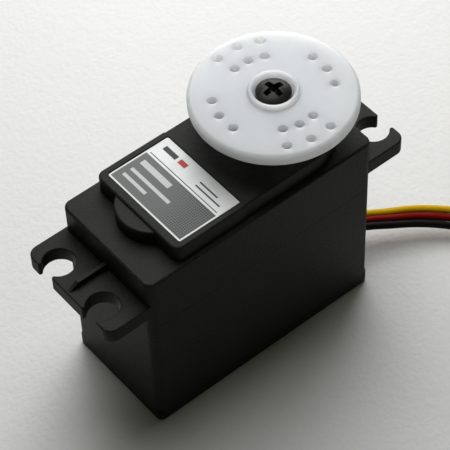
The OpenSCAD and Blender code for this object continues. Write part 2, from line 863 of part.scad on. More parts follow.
// Motor can: a cup that is closed at the top, with a boss in the gear plate
module motor_can() {
    color([0.7, 0.71, 0.73])
    difference() {
        union() {
            post(motor_x, 0, can_r, can_z, plate_z);
            post(motor_x, 0, can_boss_r, plate_z - can_wall / 2, plate_top_z);
        }
        post(motor_x, 0, can_r - can_wall, can_z - pass, plate_z - can_wall);
        post(motor_x, 0, motor_shaft_r + running_gap, can_z, plate_top_z + pass);
        for (y = [-1, 1])
            post(motor_x, y * motor_screw_reach, motor_screw_r + seat_gap,
                plate_z - can_wall - pass, plate_z + pass);
    }
}

// End cap that closes the motor and carries the shaft's lower end
module motor_end_cap() {
    color([0.85, 0.84, 0.8])
    difference() {
        union() {
            post(motor_x, 0, can_r, cap_low_z, can_z);
            post(motor_x, 0, cap_inner_r, can_z - end_cap_flange / 2, cap_top_z);
        }
        post(motor_x, 0, motor_shaft_r + running_gap, cap_low_z + end_cap_flange / 2, cap_top_z + pass);
    }
}

// Two curved magnets inside the can
module motor_magnets() {
    color([0.3, 0.3, 0.32])
    translate([motor_x, 0, magnet_z])
        for (a = [0, 180])
            rotate([0, 0, a])
                rotate([0, 0, -magnet_angle / 2])
                    rotate_extrude(angle = magnet_angle)
                        translate([can_r - can_wall - running_gap - magnet_thick, 0])
                            square([magnet_thick, magnet_length]);
}

// Two brushes that rest on the commutator
module motor_brushes() {
    color([0.35, 0.3, 0.25])
    for (a = [-1, 1])
        translate([motor_x, a * (commutator_r + running_gap), cap_top_z])
            translate([-brush_width / 2, a > 0 ? 0 : -brush_length, 0])
                cube([brush_width, brush_length, commutator_z + commutator_length - cap_top_z]);
}

// Two solder terminals from the end cap through the board
module motor_terminals() {
    low = board_z - terminal_stub;
    color([0.8, 0.75, 0.5])
    for (a = [-1, 1])
        translate([motor_x - terminal_width / 2, a * terminal_y - terminal_thick / 2, low])
            cube([terminal_width, terminal_thick, cap_low_z - low]);
}

// Two screws that hold the motor to the gear plate
module motor_screws() {
    top = plate_top_z + motor_screw_head_h;
    color([0.6, 0.61, 0.63])
    for (y = [-1, 1])
        translate([motor_x, y * motor_screw_reach, 0])
            difference() {
                union() {
                    post(0, 0, motor_screw_r, plate_z - can_wall, top - motor_screw_head_h / 2);
                    post(0, 0, motor_screw_head_r, plate_top_z, top);
                }
                cross_cut(motor_screw_head_r * cross_reach, motor_screw_head_h * cross_depth, top);
            }
}

// Motor shaft, from the end cap to the top of the pinion
module motor_shaft() {
    color([0.75, 0.76, 0.78])
    post(motor_x, 0, motor_shaft_r, cap_low_z + end_cap_flange / 2 + running_gap, first_z + gear_face);
}

// Pinion on the motor shaft
module motor_pinion() {
    color([0.78, 0.62, 0.3])
    translate([motor_x, 0, 0])
        difference() {
            gear_disc(pinion_teeth, first_z, first_z + gear_face, 0);
            post(0, 0, motor_shaft_r + seat_gap, first_z - pass, first_z + gear_face + pass);
        }
}

// Armature with three arms and their pole faces
module armature_core() {
    far = 2 * armature_r;
    side = far * tan(pole_angle / 2);
    color([0.45, 0.46, 0.48])
    translate([motor_x, 0, armature_z])
        linear_extrude(armature_length)
            difference() {
                union() {
                    circle(armature_hub_r);
                    for (a = [0, 120, 240])
                        rotate(a) {
                            translate([0, -arm_width / 2])
                                square([armature_r - pole_thick / 2, arm_width]);
                            intersection() {
                                difference() {
                                    circle(armature_r);
                                    circle(armature_r - pole_thick);
                                }
                                polygon([[0, 0], [far, -side], [far, side]]);
                            }
                        }
                }
                circle(motor_shaft_r + seat_gap);
            }
}

// Copper wound round each arm
module armature_windings() {
    gap = seat_gap;
    half = arm_width / 2 + winding_thick;
    start = armature_hub_r + gear_gap;
    reach = sqrt(pow(armature_r - pole_thick, 2) - pow(half, 2)) - 2 * gap - start;
    color([0.72, 0.42, 0.2])
    translate([motor_x, 0, armature_z])
        for (a = [0, 120, 240])
            rotate([0, 0, a])
                translate([start, 0, 0])
                    difference() {
                        translate([0, -half, -winding_thick])
                            cube([reach, 2 * half, armature_length + 2 * winding_thick]);
                        translate([-pass, -arm_width / 2 - gap, -gap])
                            cube([reach + 2 * pass, arm_width + 2 * gap, armature_length + 2 * gap]);
                    }
}

// Commutator under the armature
module commutator() {
    color([0.75, 0.48, 0.25])
    translate([motor_x, 0, commutator_z])
        difference() {
            post(0, 0, commutator_r, 0, commutator_length);
            post(0, 0, motor_shaft_r + seat_gap, -pass, commutator_length + pass);
        }
}

// Circuit board on the bottom cover's lip, slotted for the motor's terminals
module circuit_board() {
    slot_length = terminal_width + 2 * screw_gap;
    slot_width = terminal_thick + 2 * screw_gap;
    color([0.1, 0.35, 0.2])
    difference() {
        slab(board_length, board_width, board_corner_r, board_z, board_top_z);
        for (a = [-1, 1])
            translate([motor_x - slot_length / 2, a * terminal_y - slot_width / 2, board_z - pass])
                cube([slot_length, slot_width, board_thick + 2 * pass]);
    }
}

// Block that lies on the circuit board, moved across by the given distance
module on_board(at, across, size) {
    translate([board_free_x + at[0] - size[0] / 2, at[1] + across - size[1] / 2, board_top_z])
        cube(size);
}

// Control chip
module control_chip() {
    color([0.12, 0.12, 0.13])
    on_board(control_chip_at, 0, control_chip_size);
}

// Two chips that switch the motor's current
module bridge_chips() {
    color([0.12, 0.12, 0.13])
    for (k = [0, 1])
        on_board(bridge_chip_at, k * bridge_chip_pitch, bridge_chip_size);
}

// Smoothing capacitor
module capacitor() {
    color([0.15, 0.2, 0.4])
    post(board_free_x + capacitor_at[0], capacitor_at[1], capacitor_r,
        board_top_z, board_top_z + capacitor_h);
}

// Two equal resistors that stand in the place of a position sensor
module setting_resistors() {
    color([0.75, 0.68, 0.5])
    for (k = [0, 1])
        on_board(resistor_at, k * resistor_pitch, resistor_size);
}

// Lead: where it leaves the case
exit_y = -2.4;
exit_z = 4.4;
grommet_y = exit_y;
grommet_width = 2 * wire_pitch + wire_d + 2 * grommet_margin;
grommet_h = 2 * (exit_z - cover_h);

// Rubber grommet in the notch of the output end's wall
module wire_grommet() {
    color([0.12, 0.12, 0.12])
    translate([0, grommet_y, 0]) {
        translate([end_x - wall - grommet_inner, -grommet_width / 2, cover_h + seat_gap])
            cube([wall + grommet_inner + 2 * seat_gap, grommet_width, grommet_h - seat_gap]);
        translate([end_x + seat_gap, 0, exit_z])
            rotate([90, 0, 90])
                linear_extrude(grommet_face - seat_gap)
                    rounded_rect(grommet_width + 2 * grommet_flange, grommet_h - 2 * grommet_flange,
                        grommet_corner_r);
    }
}

// Wires inside the case, from the grommet to the board
module inner_wires() {
    colours = [[0.1, 0.1, 0.1], [0.6, 0.08, 0.06], [0.85, 0.65, 0.1]];
    start = end_x - wall - grommet_inner;
    for (k = [-1:1])
        color(colours[k + 1])
        translate([start, exit_y + k * wire_pitch, exit_z])
            rotate([0, -90, 0])
                cylinder(d = wire_d, h = inner_wire_length);
}

// Route of the middle wire from the grommet to the coil: the distance from the end of the case, y, z and
// the ribbon's turn on edge in degrees
lead_points = [
    [grommet_face, exit_y, exit_z, 0], [2.2, exit_y, exit_z, 0], [4, -2.9, 4.3, 0], [6, -3.9, 4.1, 0],
    [8.4, -5.4, 3.9, 4], [10.8, -6.9, 3.8, 12], [12.8, -8.3, 3.6, 17], [14.7, -9.9, 3.4, 21],
    [16.6, -11.7, 3.2, 27], [19.4, -14, 3, 40], [23, -15.9, 2.8, 58], [27.4, -17, 2.6, 76],
    [32.4, -17.3, 2.4, 90], [37.4, -17.3, 2.4, 90], [42, -17.3, 2.4, 90], [45.6, -17.3, 2.4, 90]
];
lead_route = [for (p = lead_points) [end_x + p[0], p[1], p[2], p[3]]];

// Turns of the put-away lead on the way in and on the way out
coil_turns_in = 1.6;
coil_turns_out = 1.74;
coil_start = lead_route[len(lead_route) - 1];
coil_z = coil_start[2];
coil_step = 2 * (wire_d + coil_gap);
loop_rings = 24;
coil_start_r = coil_inner_r + coil_step * coil_turns_in;
coil_x = coil_start[0] + wire_d;
coil_y = coil_start[1] + coil_start_r;
turn_in = -90 + 360 * coil_turns_in;

// Point at a radius and an angle round the coil's middle
function round_coil(r, a) = [coil_x + r * cos(a), coil_y + r * sin(a), coil_z, 90, wire_pitch];

// Middle wire's way through the coil: a spiral in, an S through the middle and a spiral out between the turns
way_in = [for (i = [0:round(loop_rings * coil_turns_in) - 1])
    let (s = coil_turns_in - i / loop_rings) round_coil(coil_inner_r + coil_step * s, turn_in - 360 * s)];
half_rings = loop_rings / 2;
way_across = [for (i = [0:2 * half_rings])
    let (
        side = i <= half_rings ? 1 : -1,
        a = 180 * (i <= half_rings ? i : i - half_rings) / half_rings,
        x = coil_inner_r / 2 * (side + cos(a)),
        y = coil_inner_r / 2 * side * sin(a)
    )
    round_coil(norm([x, y]), turn_in + atan2(y, x))];
way_out = [for (i = [1:round(loop_rings * coil_turns_out)])
    let (s = coil_turns_out * i / round(loop_rings * coil_turns_out))
    round_coil(coil_inner_r + coil_step * s, turn_in + 180 - 360 * s)];

// Tail from the coil to the connector: distance, height, turn on edge and distance between wires
tail_turn = turn_in + 90 - 360 * coil_turns_out;
tail_rows = [
    [1.5, coil_z, 84, wire_pitch], [3.5, 2.3, 66, 1.4], [5.5, 2, 40, 1.7], [7.5, 1.6, 16, 2.2],
    [9.5, connector_h / 2, 0, contact_pitch], [11, connector_h / 2, 0, contact_pitch]
];
tail_start = way_out[len(way_out) - 1];
tail = [for (t = tail_rows)
    [tail_start[0] + t[0] * cos(tail_turn), tail_start[1] + t[0] * sin(tail_turn), t[1], t[2], t[3]]];
coil_route = concat([round_coil(norm([wire_d, coil_start_r]), atan2(-coil_start_r, -wire_d))],
    way_in, way_across, way_out, tail);
lead_rows = [for (p = lead_route) concat(p, [wire_pitch])];
connector_x = tail[len(tail) - 1][0];
connector_y = tail[len(tail) - 1][1];

function unit(v) = v / norm(v);
function place(row) = [row[0], row[1], row[2]];

// Direction of a route at one of its points
function heading(route, i) =
    unit(place(route[min(i + 1, len(route) - 1)]) - place(route[max(i - 1, 0)]));
function left_of(t) = unit(cross([0, 0, 1], t));

// Centres of one wire of the ribbon, k wires from the middle one
function wire_centres(route, k) =
    [for (i = [0:len(route) - 1])
        let (t = heading(route, i), left = left_of(t), up = cross(t, left), a = route[i][3])
        place(route[i]) + k * route[i][4] * (cos(a) * left + sin(a) * up)];

// Closed tube along a wire's centres, its end rings square to the given end directions
module tube(centres, ends, sides) {
    last = len(centres) - 1;
    rings = [for (i = [0:last])
        let (
            t = i == 0 ? ends[0] : i == last ? ends[1] : unit(centres[i + 1] - centres[i - 1]),
            left = left_of(t),
            up = cross(t, left)
        )
        [for (s = [0:sides - 1])
            let (p = polar(wire_d / 2, 360 * s / sides))
            centres[i] + p[0] * left + p[1] * up]];
    points = [for (ring = rings, p = ring) p];
    sides_faces = [for (i = [0:last - 1], s = [0:sides - 1])
        let (a = i * sides + s, b = i * sides + (s + 1) % sides)
        each [[a, a + sides, b], [b, a + sides, b + sides]]];
    caps = [[for (s = [0:sides - 1]) s], [for (s = [sides - 1:-1:0]) last * sides + s]];
    polyhedron(points = points, faces = concat(sides_faces, caps));
}

// Least gap between the turns of the coil, measured between points that lie half a turn or more apart
middle_of_coil = wire_centres(concat(way_in, way_across, way_out), 0);
coil_least_gap = min([for (i = [0:len(middle_of_coil) - 1], j = [i + half_rings:1:len(middle_of_coil) - 1])
    norm(middle_of_coil[i] - middle_of_coil[j])]) - wire_d;
function sum(values) = values * [for (v = values) 1];
function length_of(centres) = sum([for (i = [1:len(centres) - 1]) norm(centres[i] - centres[i - 1])]);
echo(coil_least_gap = coil_least_gap);
echo(lead_length = length_of(wire_centres(concat(lead_rows, coil_route), 0)));

along_x = [1, 0, 0];
tail_heading = [cos(tail_turn), sin(tail_turn), 0];

// Stretch of one wire from the grommet to the coil
module wire_stretch(k) {
    tube(wire_centres(lead_rows, k), [along_x, along_x], 8);
}

// Put-away length of one wire, up to the connector
module wire_coil(k) {
    tube(wire_centres(coil_route, k), [along_x, tail_heading], 6);
}

module signal_wire() {
    color([0.85, 0.65, 0.1])
    wire_stretch(1);
}

module power_wire() {
    color([0.6, 0.08, 0.06])
    wire_stretch(0);
}

module ground_wire() {
    color([0.1, 0.1, 0.1])
    wire_stretch(-1);
}

module signal_wire_coil() {
    color([0.85, 0.65, 0.1])
    wire_coil(1);
}

module power_wire_coil() {
    color([0.6, 0.08, 0.06])
    wire_coil(0);
}

module ground_wire_coil() {
    color([0.1, 0.1, 0.1])
    wire_coil(-1);
}

// Tie round the turns of the coil, on the side that faces the case
module wire_tie() {
    low_r = coil_inner_r - tie_gap;
    high_r = coil_inner_r + coil_step * coil_turns_in;
    half_h = wire_pitch + wire_d / 2 + tie_gap;
    color([0.15, 0.15, 0.16])
    translate([coil_x, coil_y, coil_z])
        rotate([0, 0, tie_angle])
            difference() {
                translate([low_r - tie_thick, -tie_width / 2, -half_h - tie_thick])
                    cube([high_r - low_r + 2 * tie_thick, tie_width, 2 * (half_h + tie_thick)]);
                translate([low_r, -tie_width / 2 - pass, -half_h])
                    cube([high_r - low_r, tie_width + 2 * pass, 2 * half_h]);
            }
}

// Place and direction of the connector, with its back at the origin and +X towards its mouth
module at_connector() {
    translate([connector_x, connector_y, 0])
        rotate([0, 0, tail_turn])
            children();
}

// Connector housing with one channel for each contact
module connector_housing() {
    color([0.1, 0.1, 0.1])
    at_connector()
        difference() {
            translate([0, -contact_pitch * 1.5, 0])
                cube([connector_length, contact_pitch * 3, connector_h]);
            for (k = [-1:1])
                translate([connector_back, k * contact_pitch, connector_h / 2])
                    translate([0, -contact_width / 2, -contact_width / 2])
                        cube([connector_length, contact_width, contact_width]);
        }
}

// Contacts in the connector's channels
module connector_contacts() {
    size = contact_width - 2 * seat_gap;
    color([0.82, 0.7, 0.35])
    at_connector()
        for (k = [-1:1])
            translate([connector_back + seat_gap, k * contact_pitch - size / 2, connector_h / 2 - size / 2])
                difference() {
                    cube([connector_length - 2 * connector_back, size, size]);
                    translate([connector_back, size / 2 - contact_bore / 2, size / 2 - contact_bore / 2])
                        cube([connector_length, contact_bore, contact_bore]);
                }
}

bottom_cover();
middle_case();
top_case();
case_screws();
label();
wheel_horn();
horn_screw();
output_gear();
bearing_outer_ring();
bearing_inner_ring();
bearing_balls();
bearing_cage();
output_bush();
third_gear();
second_gear();
first_gear();
gear_pin();
motor_can();
motor_end_cap();
motor_magnets();
motor_brushes();
motor_terminals();
motor_screws();
motor_shaft();
motor_pinion();
armature_core();
armature_windings();
commutator();
circuit_board();
control_chip();
bridge_chips();
capacitor();
setting_resistors();
wire_grommet();
inner_wires();
signal_wire();
power_wire();
ground_wire();
signal_wire_coil();
power_wire_coil();
ground_wire_coil();
wire_tie();
connector_housing();
connector_contacts();
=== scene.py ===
# %% [markdown]
# # Hobby servo motor
# A small geared motor in a black plastic case, with a white round horn on its shaft and a lead of three
# wires. Shapes, sizes and joints come from a packed model, and every piece made here sits in that model's
# frame, in metres. This lesson gives each piece its rounded edges, its finish and its light, step by step.
# Sizes are written in millimetres and become metres where a mesh is made.

# %% Load the packed model
from math import asin, atan2, cos, hypot, pi, radians, sin, tan

import bmesh
import bpy
from mathutils import Matrix, Vector


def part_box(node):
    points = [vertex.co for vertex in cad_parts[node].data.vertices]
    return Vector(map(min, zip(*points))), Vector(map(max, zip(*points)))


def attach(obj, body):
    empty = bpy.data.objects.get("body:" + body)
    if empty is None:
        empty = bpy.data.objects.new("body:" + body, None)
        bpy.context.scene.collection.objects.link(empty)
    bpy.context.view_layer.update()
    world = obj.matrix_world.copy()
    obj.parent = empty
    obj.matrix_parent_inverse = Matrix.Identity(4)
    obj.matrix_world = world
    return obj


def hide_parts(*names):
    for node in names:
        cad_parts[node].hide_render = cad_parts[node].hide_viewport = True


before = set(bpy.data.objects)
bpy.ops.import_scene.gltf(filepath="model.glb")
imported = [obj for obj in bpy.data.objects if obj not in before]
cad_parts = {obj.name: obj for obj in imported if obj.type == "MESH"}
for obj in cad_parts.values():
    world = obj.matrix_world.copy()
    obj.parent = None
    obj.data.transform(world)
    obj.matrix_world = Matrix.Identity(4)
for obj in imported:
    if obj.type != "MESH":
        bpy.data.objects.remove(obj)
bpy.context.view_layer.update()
MM = 0.001
print("packed pieces:", len(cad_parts))

# %% [markdown]
# ## A socket to calculate with
# A Blender material is a tree of nodes, and adding each node by hand hides the sum it stands for. This small
# class wraps one socket, so that a sum such as `1 - mask` is written as one and adds its own Math nodes.
# Every other node comes from one method, and Geometry Nodes trees use the same class.

# %% The socket class
def math_node(operation, swapped=False):
    """An operator that adds a Math node. A reflected one has its two values swapped."""
    def operator(self, other):
        first, second = (other, self) if swapped else (self, other)
        return self.node("ShaderNodeMath", {"operation": operation}, {0: first, 1: second})
    return operator


class Shade:
    """One socket of a tree. Sums on it add the nodes that work them out."""

    __add__, __radd__ = math_node("ADD"), math_node("ADD", True)
    __sub__, __rsub__ = math_node("SUBTRACT"), math_node("SUBTRACT", True)
    __mul__, __rmul__ = math_node("MULTIPLY"), math_node("MULTIPLY", True)
    __truediv__, __rtruediv__ = math_node("DIVIDE"), math_node("DIVIDE", True)
    __mod__ = math_node("FLOORED_MODULO")
    most, angle_over = math_node("MAXIMUM"), math_node("ARCTAN2")

    def __init__(self, tree, socket=None):
        self.tree = tree
        self.socket = socket

    def node(self, kind, settings=None, sockets=None, out=0):
        """Adds a node: first its settings, then the values or links of its sockets."""
        made = self.tree.nodes.new(kind)
        for name, value in (settings or {}).items():
            setattr(made, name, value)
        feed(made, sockets or {})
        return Shade(self.tree, made.outputs[out]) if made.outputs else None

    def __abs__(self):
        return self.node("ShaderNodeMath", {"operation": "ABSOLUTE"}, {0: self})

    def root(self):
        return self.node("ShaderNodeMath", {"operation": "SQRT"}, {0: self})

    def clamp(self):
        return self.node("ShaderNodeClamp", {}, {"Value": self})

    def mix(self, first, second):
        """The first colour where this value is 0, and the second where it is 1."""
        return self.node("ShaderNodeMix", {"data_type": "RGBA"}, {0: self, 6: first, 7: second}, 2)

    def stretched(self, factors):
        return self.node("ShaderNodeVectorMath", {"operation": "MULTIPLY"}, {0: self, 1: factors})

    def parts(self):
        """The three numbers of a vector."""
        split = self.node("ShaderNodeSeparateXYZ", {}, {0: self}).socket.node
        return [Shade(self.tree, socket) for socket in split.outputs]


def feed(node, sockets):
    """Sets sockets of a node to values or colours, or links them to a Shade."""
    for key, value in sockets.items():
        socket = node.inputs[key]
        if isinstance(value, Shade):
            value.tree.links.new(value.socket, socket)
        else:
            socket.default_value = (*value, 1) if socket.type == "RGBA" else value


print("methods of a socket:", [name for name in vars(Shade) if not name.startswith("__")])

# %% [markdown]
# ## Camera
# The photograph looks down on the motor's end from the left with a long lens, so that parallel edges stay
# nearly parallel. The place and the lens were found by fitting the model's own corners to the picture. A
# camera could be aimed with a constraint, but a plain turn needs no second object.

# %% Place the camera
CAMERA_PLACE = (-110.972, -145.403, 241.755)
CAMERA_AZIMUTH = radians(-37.521)
CAMERA_ELEVATION = radians(50.48)
CAMERA_ROLL = radians(-2.6)
LENS = 159.915
SENSOR = 36


def shift(x, y=0, z=0):
    """A move by millimetres."""
    return Matrix.Translation((x * MM, y * MM, z * MM))


def spin(angle, axis="Z"):
    """A turn about an axis."""
    return Matrix.Rotation(angle, 4, axis)


def linked(name, data):
    """An object in the scene that holds the given data."""
    made = bpy.data.objects.new(name, data)
    bpy.context.scene.collection.objects.link(made)
    return made


camera = linked("camera", bpy.data.cameras.new("camera"))
camera.data.lens = LENS
camera.data.sensor_width = SENSOR
camera.data.clip_start = 0.01
camera.data.clip_end = 10
aim = spin(CAMERA_AZIMUTH) @ spin(pi / 2 - CAMERA_ELEVATION, "X") @ spin(CAMERA_ROLL)
camera.matrix_world = shift(*CAMERA_PLACE) @ aim
bpy.context.scene.camera = camera
print("camera at", [round(v, 4) for v in camera.location])

# %% [markdown]
# ## Finishes made of clouds
# Real plastic and metal are never one flat colour: the colour drifts, the gloss changes and the skin has a
# grain. Noise in Object coordinates gives all of that at a real size. Each finish is a function from the
# place on the piece, in millimetres, to the shader's sockets, and a decorator makes it a material.

# %% Start a finish, read a cloud of noise, and mould the first plastic
def finish(name):
    """Turns a function, which gives a shader's sockets for a place, into a material."""
    def make(sockets):
        material = bpy.data.materials.new(name)
        material.use_nodes = True
        tree = material.node_tree
        place = Shade(tree).node("ShaderNodeTexCoord", out="Object").stretched((1 / MM,) * 3)
        feed(tree.nodes["Principled BSDF"], sockets(place))
        print("finish:", name, "nodes:", len(tree.nodes))
        return material
    return make


def cloud(place, size, detail=2.0):
    """Noise from 0 to 1 whose patches are about as wide as the size."""
    return place.node("ShaderNodeTexNoise", {}, {"Vector": place, "Scale": 0.5 / size, "Detail": detail})


def surface(colour, roughness, height, depth, metallic=0.0, specular=0.5):
    """The sockets of a shader whose skin stands up by a height from 0 to 1, times a depth in mm."""
    bump = height.node("ShaderNodeBump", {}, {"Strength": 1.0, "Distance": depth * MM, "Height": height})
    return {"Base Color": colour, "Roughness": roughness, "Normal": bump, "Metallic": metallic,
        "Specular IOR Level": specular}


def moulded_plastic(name, dark, light, roughness, grain=0.2, depth=0.008, contrast=1.0, specular=0.5):
    """Plastic from a grained mould: a drifting colour, and a skin that is uneven in gloss and height."""
    @finish(name)
    def plastic(place):
        drift = cloud(place, 5)
        skin = ((cloud(place, grain) - 0.5) * contrast + 0.5).clamp()
        gloss = drift * 0.12 + skin * 0.1 + (roughness - 0.11)
        return surface((drift * 0.6 + skin * 0.4).mix(dark, light), gloss, skin, depth, specular=specular)
    return plastic


case_plastic = moulded_plastic("case_plastic", (0.0134, 0.0137, 0.0123), (0.0326, 0.0337, 0.0310), 0.48,
    grain=0.24, depth=0.025, contrast=2.5, specular=0.075)

# %% [markdown]
# ## Route of the lead
# Three wires run side by side as a flat ribbon from the wall of the case. Beyond the picture the ribbon
# turns on edge and is put away in a coil, then ends in a connector. The ribbon is a list of rows with a
# place, a turn on edge and a pitch. A smooth curve through those rows gives each wire its own line.

# %% Rows from the case to the coil, in millimetres and degrees
CASE_END = 20.2
WIRE = 1.2
PITCH = 1.25
LEAD = [
    (0.7, -2.4, 4.4, 0), (2.2, -2.4, 4.4, 0), (4, -2.9, 4.3, 0), (6, -3.9, 4.1, 0), (8.4, -5.4, 3.9, 4),
    (10.8, -6.9, 3.8, 12), (12.8, -8.3, 3.6, 17), (14.7, -9.9, 3.4, 21), (16.6, -11.7, 3.2, 27),
    (19.4, -14, 3, 40), (23, -15.9, 2.8, 58), (27.4, -17, 2.6, 76), (32.4, -17.3, 2.4, 90),
    (37.4, -17.3, 2.4, 90), (42, -17.3, 2.4, 90), (45.6, -17.3, 2.4, 90),
]
lead_rows = [(CASE_END + x, y, z, turn, PITCH) for x, y, z, turn in LEAD]
print("rows before the coil:", len(lead_rows))

# %% Rows of the coil and of the tail
COIL_INNER = 7.5
COIL_STEP = 3.4
TURNS_IN = 1.6
TURNS_OUT = 1.74
RINGS = 24
TAIL = [
    (1.5, 2.4, 84, 1.25), (3.5, 2.3, 66, 1.4), (5.5, 2, 40, 1.7), (7.5, 1.6, 16, 2.2), (9.5, 1.4, 0, 2.54),
    (11, 1.4, 0, 2.54),
]
coil_x = lead_rows[-1][0] + WIRE
coil_y = lead_rows[-1][1] + COIL_INNER + COIL_STEP * TURNS_IN
coil_z = lead_rows[-1][2]
turn_in = radians(-90 + 360 * TURNS_IN)


def round_coil(radius, angle):
    """A row at a radius and an angle round the coil's middle."""
    return coil_x + radius * cos(angle), coil_y + radius * sin(angle), coil_z, 90, PITCH


def across_coil(step):
    """A row of the S through the coil's middle, from one side to the other."""
    side = 1 if step <= RINGS / 2 else -1
    angle = 2 * pi * (step if side > 0 else step - RINGS / 2) / RINGS
    x = COIL_INNER / 2 * (side + cos(angle))
    y = COIL_INNER / 2 * side * sin(angle)
    return round_coil(hypot(x, y), turn_in + atan2(y, x))


turns_left = [TURNS_IN - i / RINGS for i in range(round(RINGS * TURNS_IN))]
way_in = [round_coil(COIL_INNER + COIL_STEP * left, turn_in - 2 * pi * left) for left in turns_left]
out_steps = round(RINGS * TURNS_OUT)
turns_made = [TURNS_OUT * i / out_steps for i in range(1, out_steps + 1)]
way_out = [round_coil(COIL_INNER + COIL_STEP * made, turn_in + pi - 2 * pi * made) for made in turns_made]
tail_turn = turn_in + pi / 2 - 2 * pi * TURNS_OUT
tail = [(way_out[-1][0] + d * cos(tail_turn), way_out[-1][1] + d * sin(tail_turn), z, turn, pitch)
    for d, z, turn, pitch in TAIL]
route = lead_rows + way_in + [across_coil(i) for i in range(RINGS + 1)] + way_out + tail
connector_back = Vector(tail[-1][:2])
print("rows:", len(route), "connector's back at", [round(v, 2) for v in connector_back])

# %% Line of one wire along the ribbon
def smoothed(rows, steps):
    """More rows, on a curve that passes through all of the given ones."""
    rows = [Vector(row) for row in rows]
    out = []
    for i in range(len(rows) - 1):
        a, b, c, d = (rows[max(0, min(len(rows) - 1, i + k))] for k in (-1, 0, 1, 2))
        for t in (k / steps for k in range(steps)):
            bend = (2 * a - 5 * b + 4 * c - d) * t**2 + (3 * b - a - 3 * c + d) * t**3
            out.append(0.5 * (2 * b + (c - a) * t + bend))
    return out + [rows[-1]]


def wire_line(rows, k):
    """Centres of one wire of the ribbon, k wires from the middle one."""
    places = [Vector(row[:3]) for row in rows]
    line = []
    for i, row in enumerate(rows):
        ahead = (places[min(i + 1, len(rows) - 1)] - places[max(i - 1, 0)]).normalized()
        left = Vector((0, 0, 1)).cross(ahead).normalized()
        up = ahead.cross(left)
        turn = radians(row[3])
        line.append((places[i] + k * row[4] * (cos(turn) * left + sin(turn) * up)) * MM)
    return line


ribbon = smoothed(route, 4)
print("points of a wire:", len(ribbon))

# %% [markdown]
# ## Wire jackets
# The jackets are soft vinyl with a dull skin, and their colour is slightly uneven. A curve with a round
# bevel is the plainest way to a wire, and it keeps its centreline, which gives its length.

# %% Three wires
JACKETS = {
    "yellow": ((0.60, 0.36, 0.002), (0.70, 0.44, 0.006)),
    "red": ((0.17, 0.004, 0.002), (0.23, 0.007, 0.004)),
    "black": ((0.006, 0.006, 0.0055), (0.010, 0.010, 0.009)),
}


def wire(colour, k):
    """One wire as a curve through its centres, with a round section."""
    line = wire_line(ribbon, k)
    curve = bpy.data.curves.new(colour + "_wire", "CURVE")
    curve.dimensions = "3D"
    curve.bevel_depth = WIRE / 2 * MM
    curve.bevel_resolution = 3
    curve.use_fill_caps = True
    spline = curve.splines.new("POLY")
    spline.points.add(len(line) - 1)
    for point, place in zip(spline.points, line):
        point.co = (*place, 1)
    spline.use_smooth = True
    piece = linked(colour + "_wire", curve)
    curve.materials.append(moulded_plastic("wire_" + colour, *JACKETS[colour], 0.42, grain=0.5, depth=0.02,
        specular=0.05))
    print(colour, "wire:", round(sum((b - a).length for a, b in zip(line, line[1:])) / MM, 1), "mm")
    return piece, line


wires = {colour: wire(colour, k) for colour, k in (("yellow", 1), ("red", 0), ("black", -1))}

# %% [markdown]
# ## Geometry Nodes trees with named sizes
# Holes, screws and channels repeat, so each is made once as a rule: a tree that takes a mesh and some named
# sizes. The modifier's inputs are set by their identifiers before the mesh is first worked out, and the
# result is then kept as a plain mesh, because an exported model can't hold a live tree.

# %% Build a tree
def new_tree(name, sizes, counts):
    """A tree that takes a mesh, sizes and counts, and those inputs by name."""
    tree = bpy.data.node_groups.new(name, "GeometryNodeTree")
    tree.interface.new_socket("Mesh", in_out="INPUT", socket_type="NodeSocketGeometry")
    for kind, names in (("NodeSocketFloat", sizes), ("NodeSocketInt", counts)):
        for socket in names:
            tree.interface.new_socket(socket, in_out="INPUT", socket_type=kind)
    tree.interface.new_socket("Mesh", in_out="OUTPUT", socket_type="NodeSocketGeometry")
    start = tree.nodes.new("NodeGroupInput")
    return tree, {socket.name: Shade(tree, socket) for socket in start.outputs if socket.name}


def end_tree(shape, material):
    """Ends a tree with real geometry of one material."""
    real = shape.node("GeometryNodeRealizeInstances", {}, {0: shape})
    painted = real.node("GeometryNodeSetMaterial", {}, {"Geometry": real, "Material": material})
    painted.node("NodeGroupOutput", {}, {0: painted})
    print("tree:", shape.tree.name, "nodes:", len(shape.tree.nodes))


def vector(x, y, z):
    """A vector made of numbers and sockets, at least one of them a socket."""
    known = next(v for v in (x, y, z) if isinstance(v, Shade))
    return known.node("ShaderNodeCombineXYZ", {}, {0: x, 1: y, 2: z})


def cut_away(mesh, *cutters):
    """The mesh with each of the cutters taken away."""
    cut = mesh.node("GeometryNodeMeshBoolean", {"operation": "DIFFERENCE", "solver": "MANIFOLD"}, {"Mesh 1": mesh})
    for cutter in cutters:
        real = cutter.node("GeometryNodeRealizeInstances", {}, {0: cutter})
        cut.tree.links.new(real.socket, cut.socket.node.inputs["Mesh 2"])
    return cut


def on_points(points, shape):
    """Copies of a shape, one on each point."""
    return shape.node("GeometryNodeInstanceOnPoints", {}, {"Points": points, "Instance": shape})


print("trees start with", new_tree.__name__, "and stop with", end_tree.__name__)

# %% Use a tree
def use_tree(piece, tree, lengths, others):
    """Puts a tree on a piece. Lengths are given in mm, and counts and angles as they are."""
    modifier = piece.modifiers.new(tree.name, "NODES")
    modifier.node_group = tree
    values = {name: length * MM for name, length in lengths.items()} | others
    for item in tree.interface.items_tree:
        if item.in_out == "INPUT" and item.name in values:
            modifier[item.identifier] = values[item.name]


def settled(piece):
    """Turns a piece with modifiers into the plain mesh that they make."""
    bpy.context.view_layer.update()
    graph = bpy.context.evaluated_depsgraph_get()
    mesh = bpy.data.meshes.new_from_object(piece.evaluated_get(graph), preserve_all_data_layers=True,
        depsgraph=graph)
    piece.modifiers.clear()
    piece.data = mesh
    return piece


print("a tree's values are set by", use_tree.__name__, "and kept by", settled.__name__)

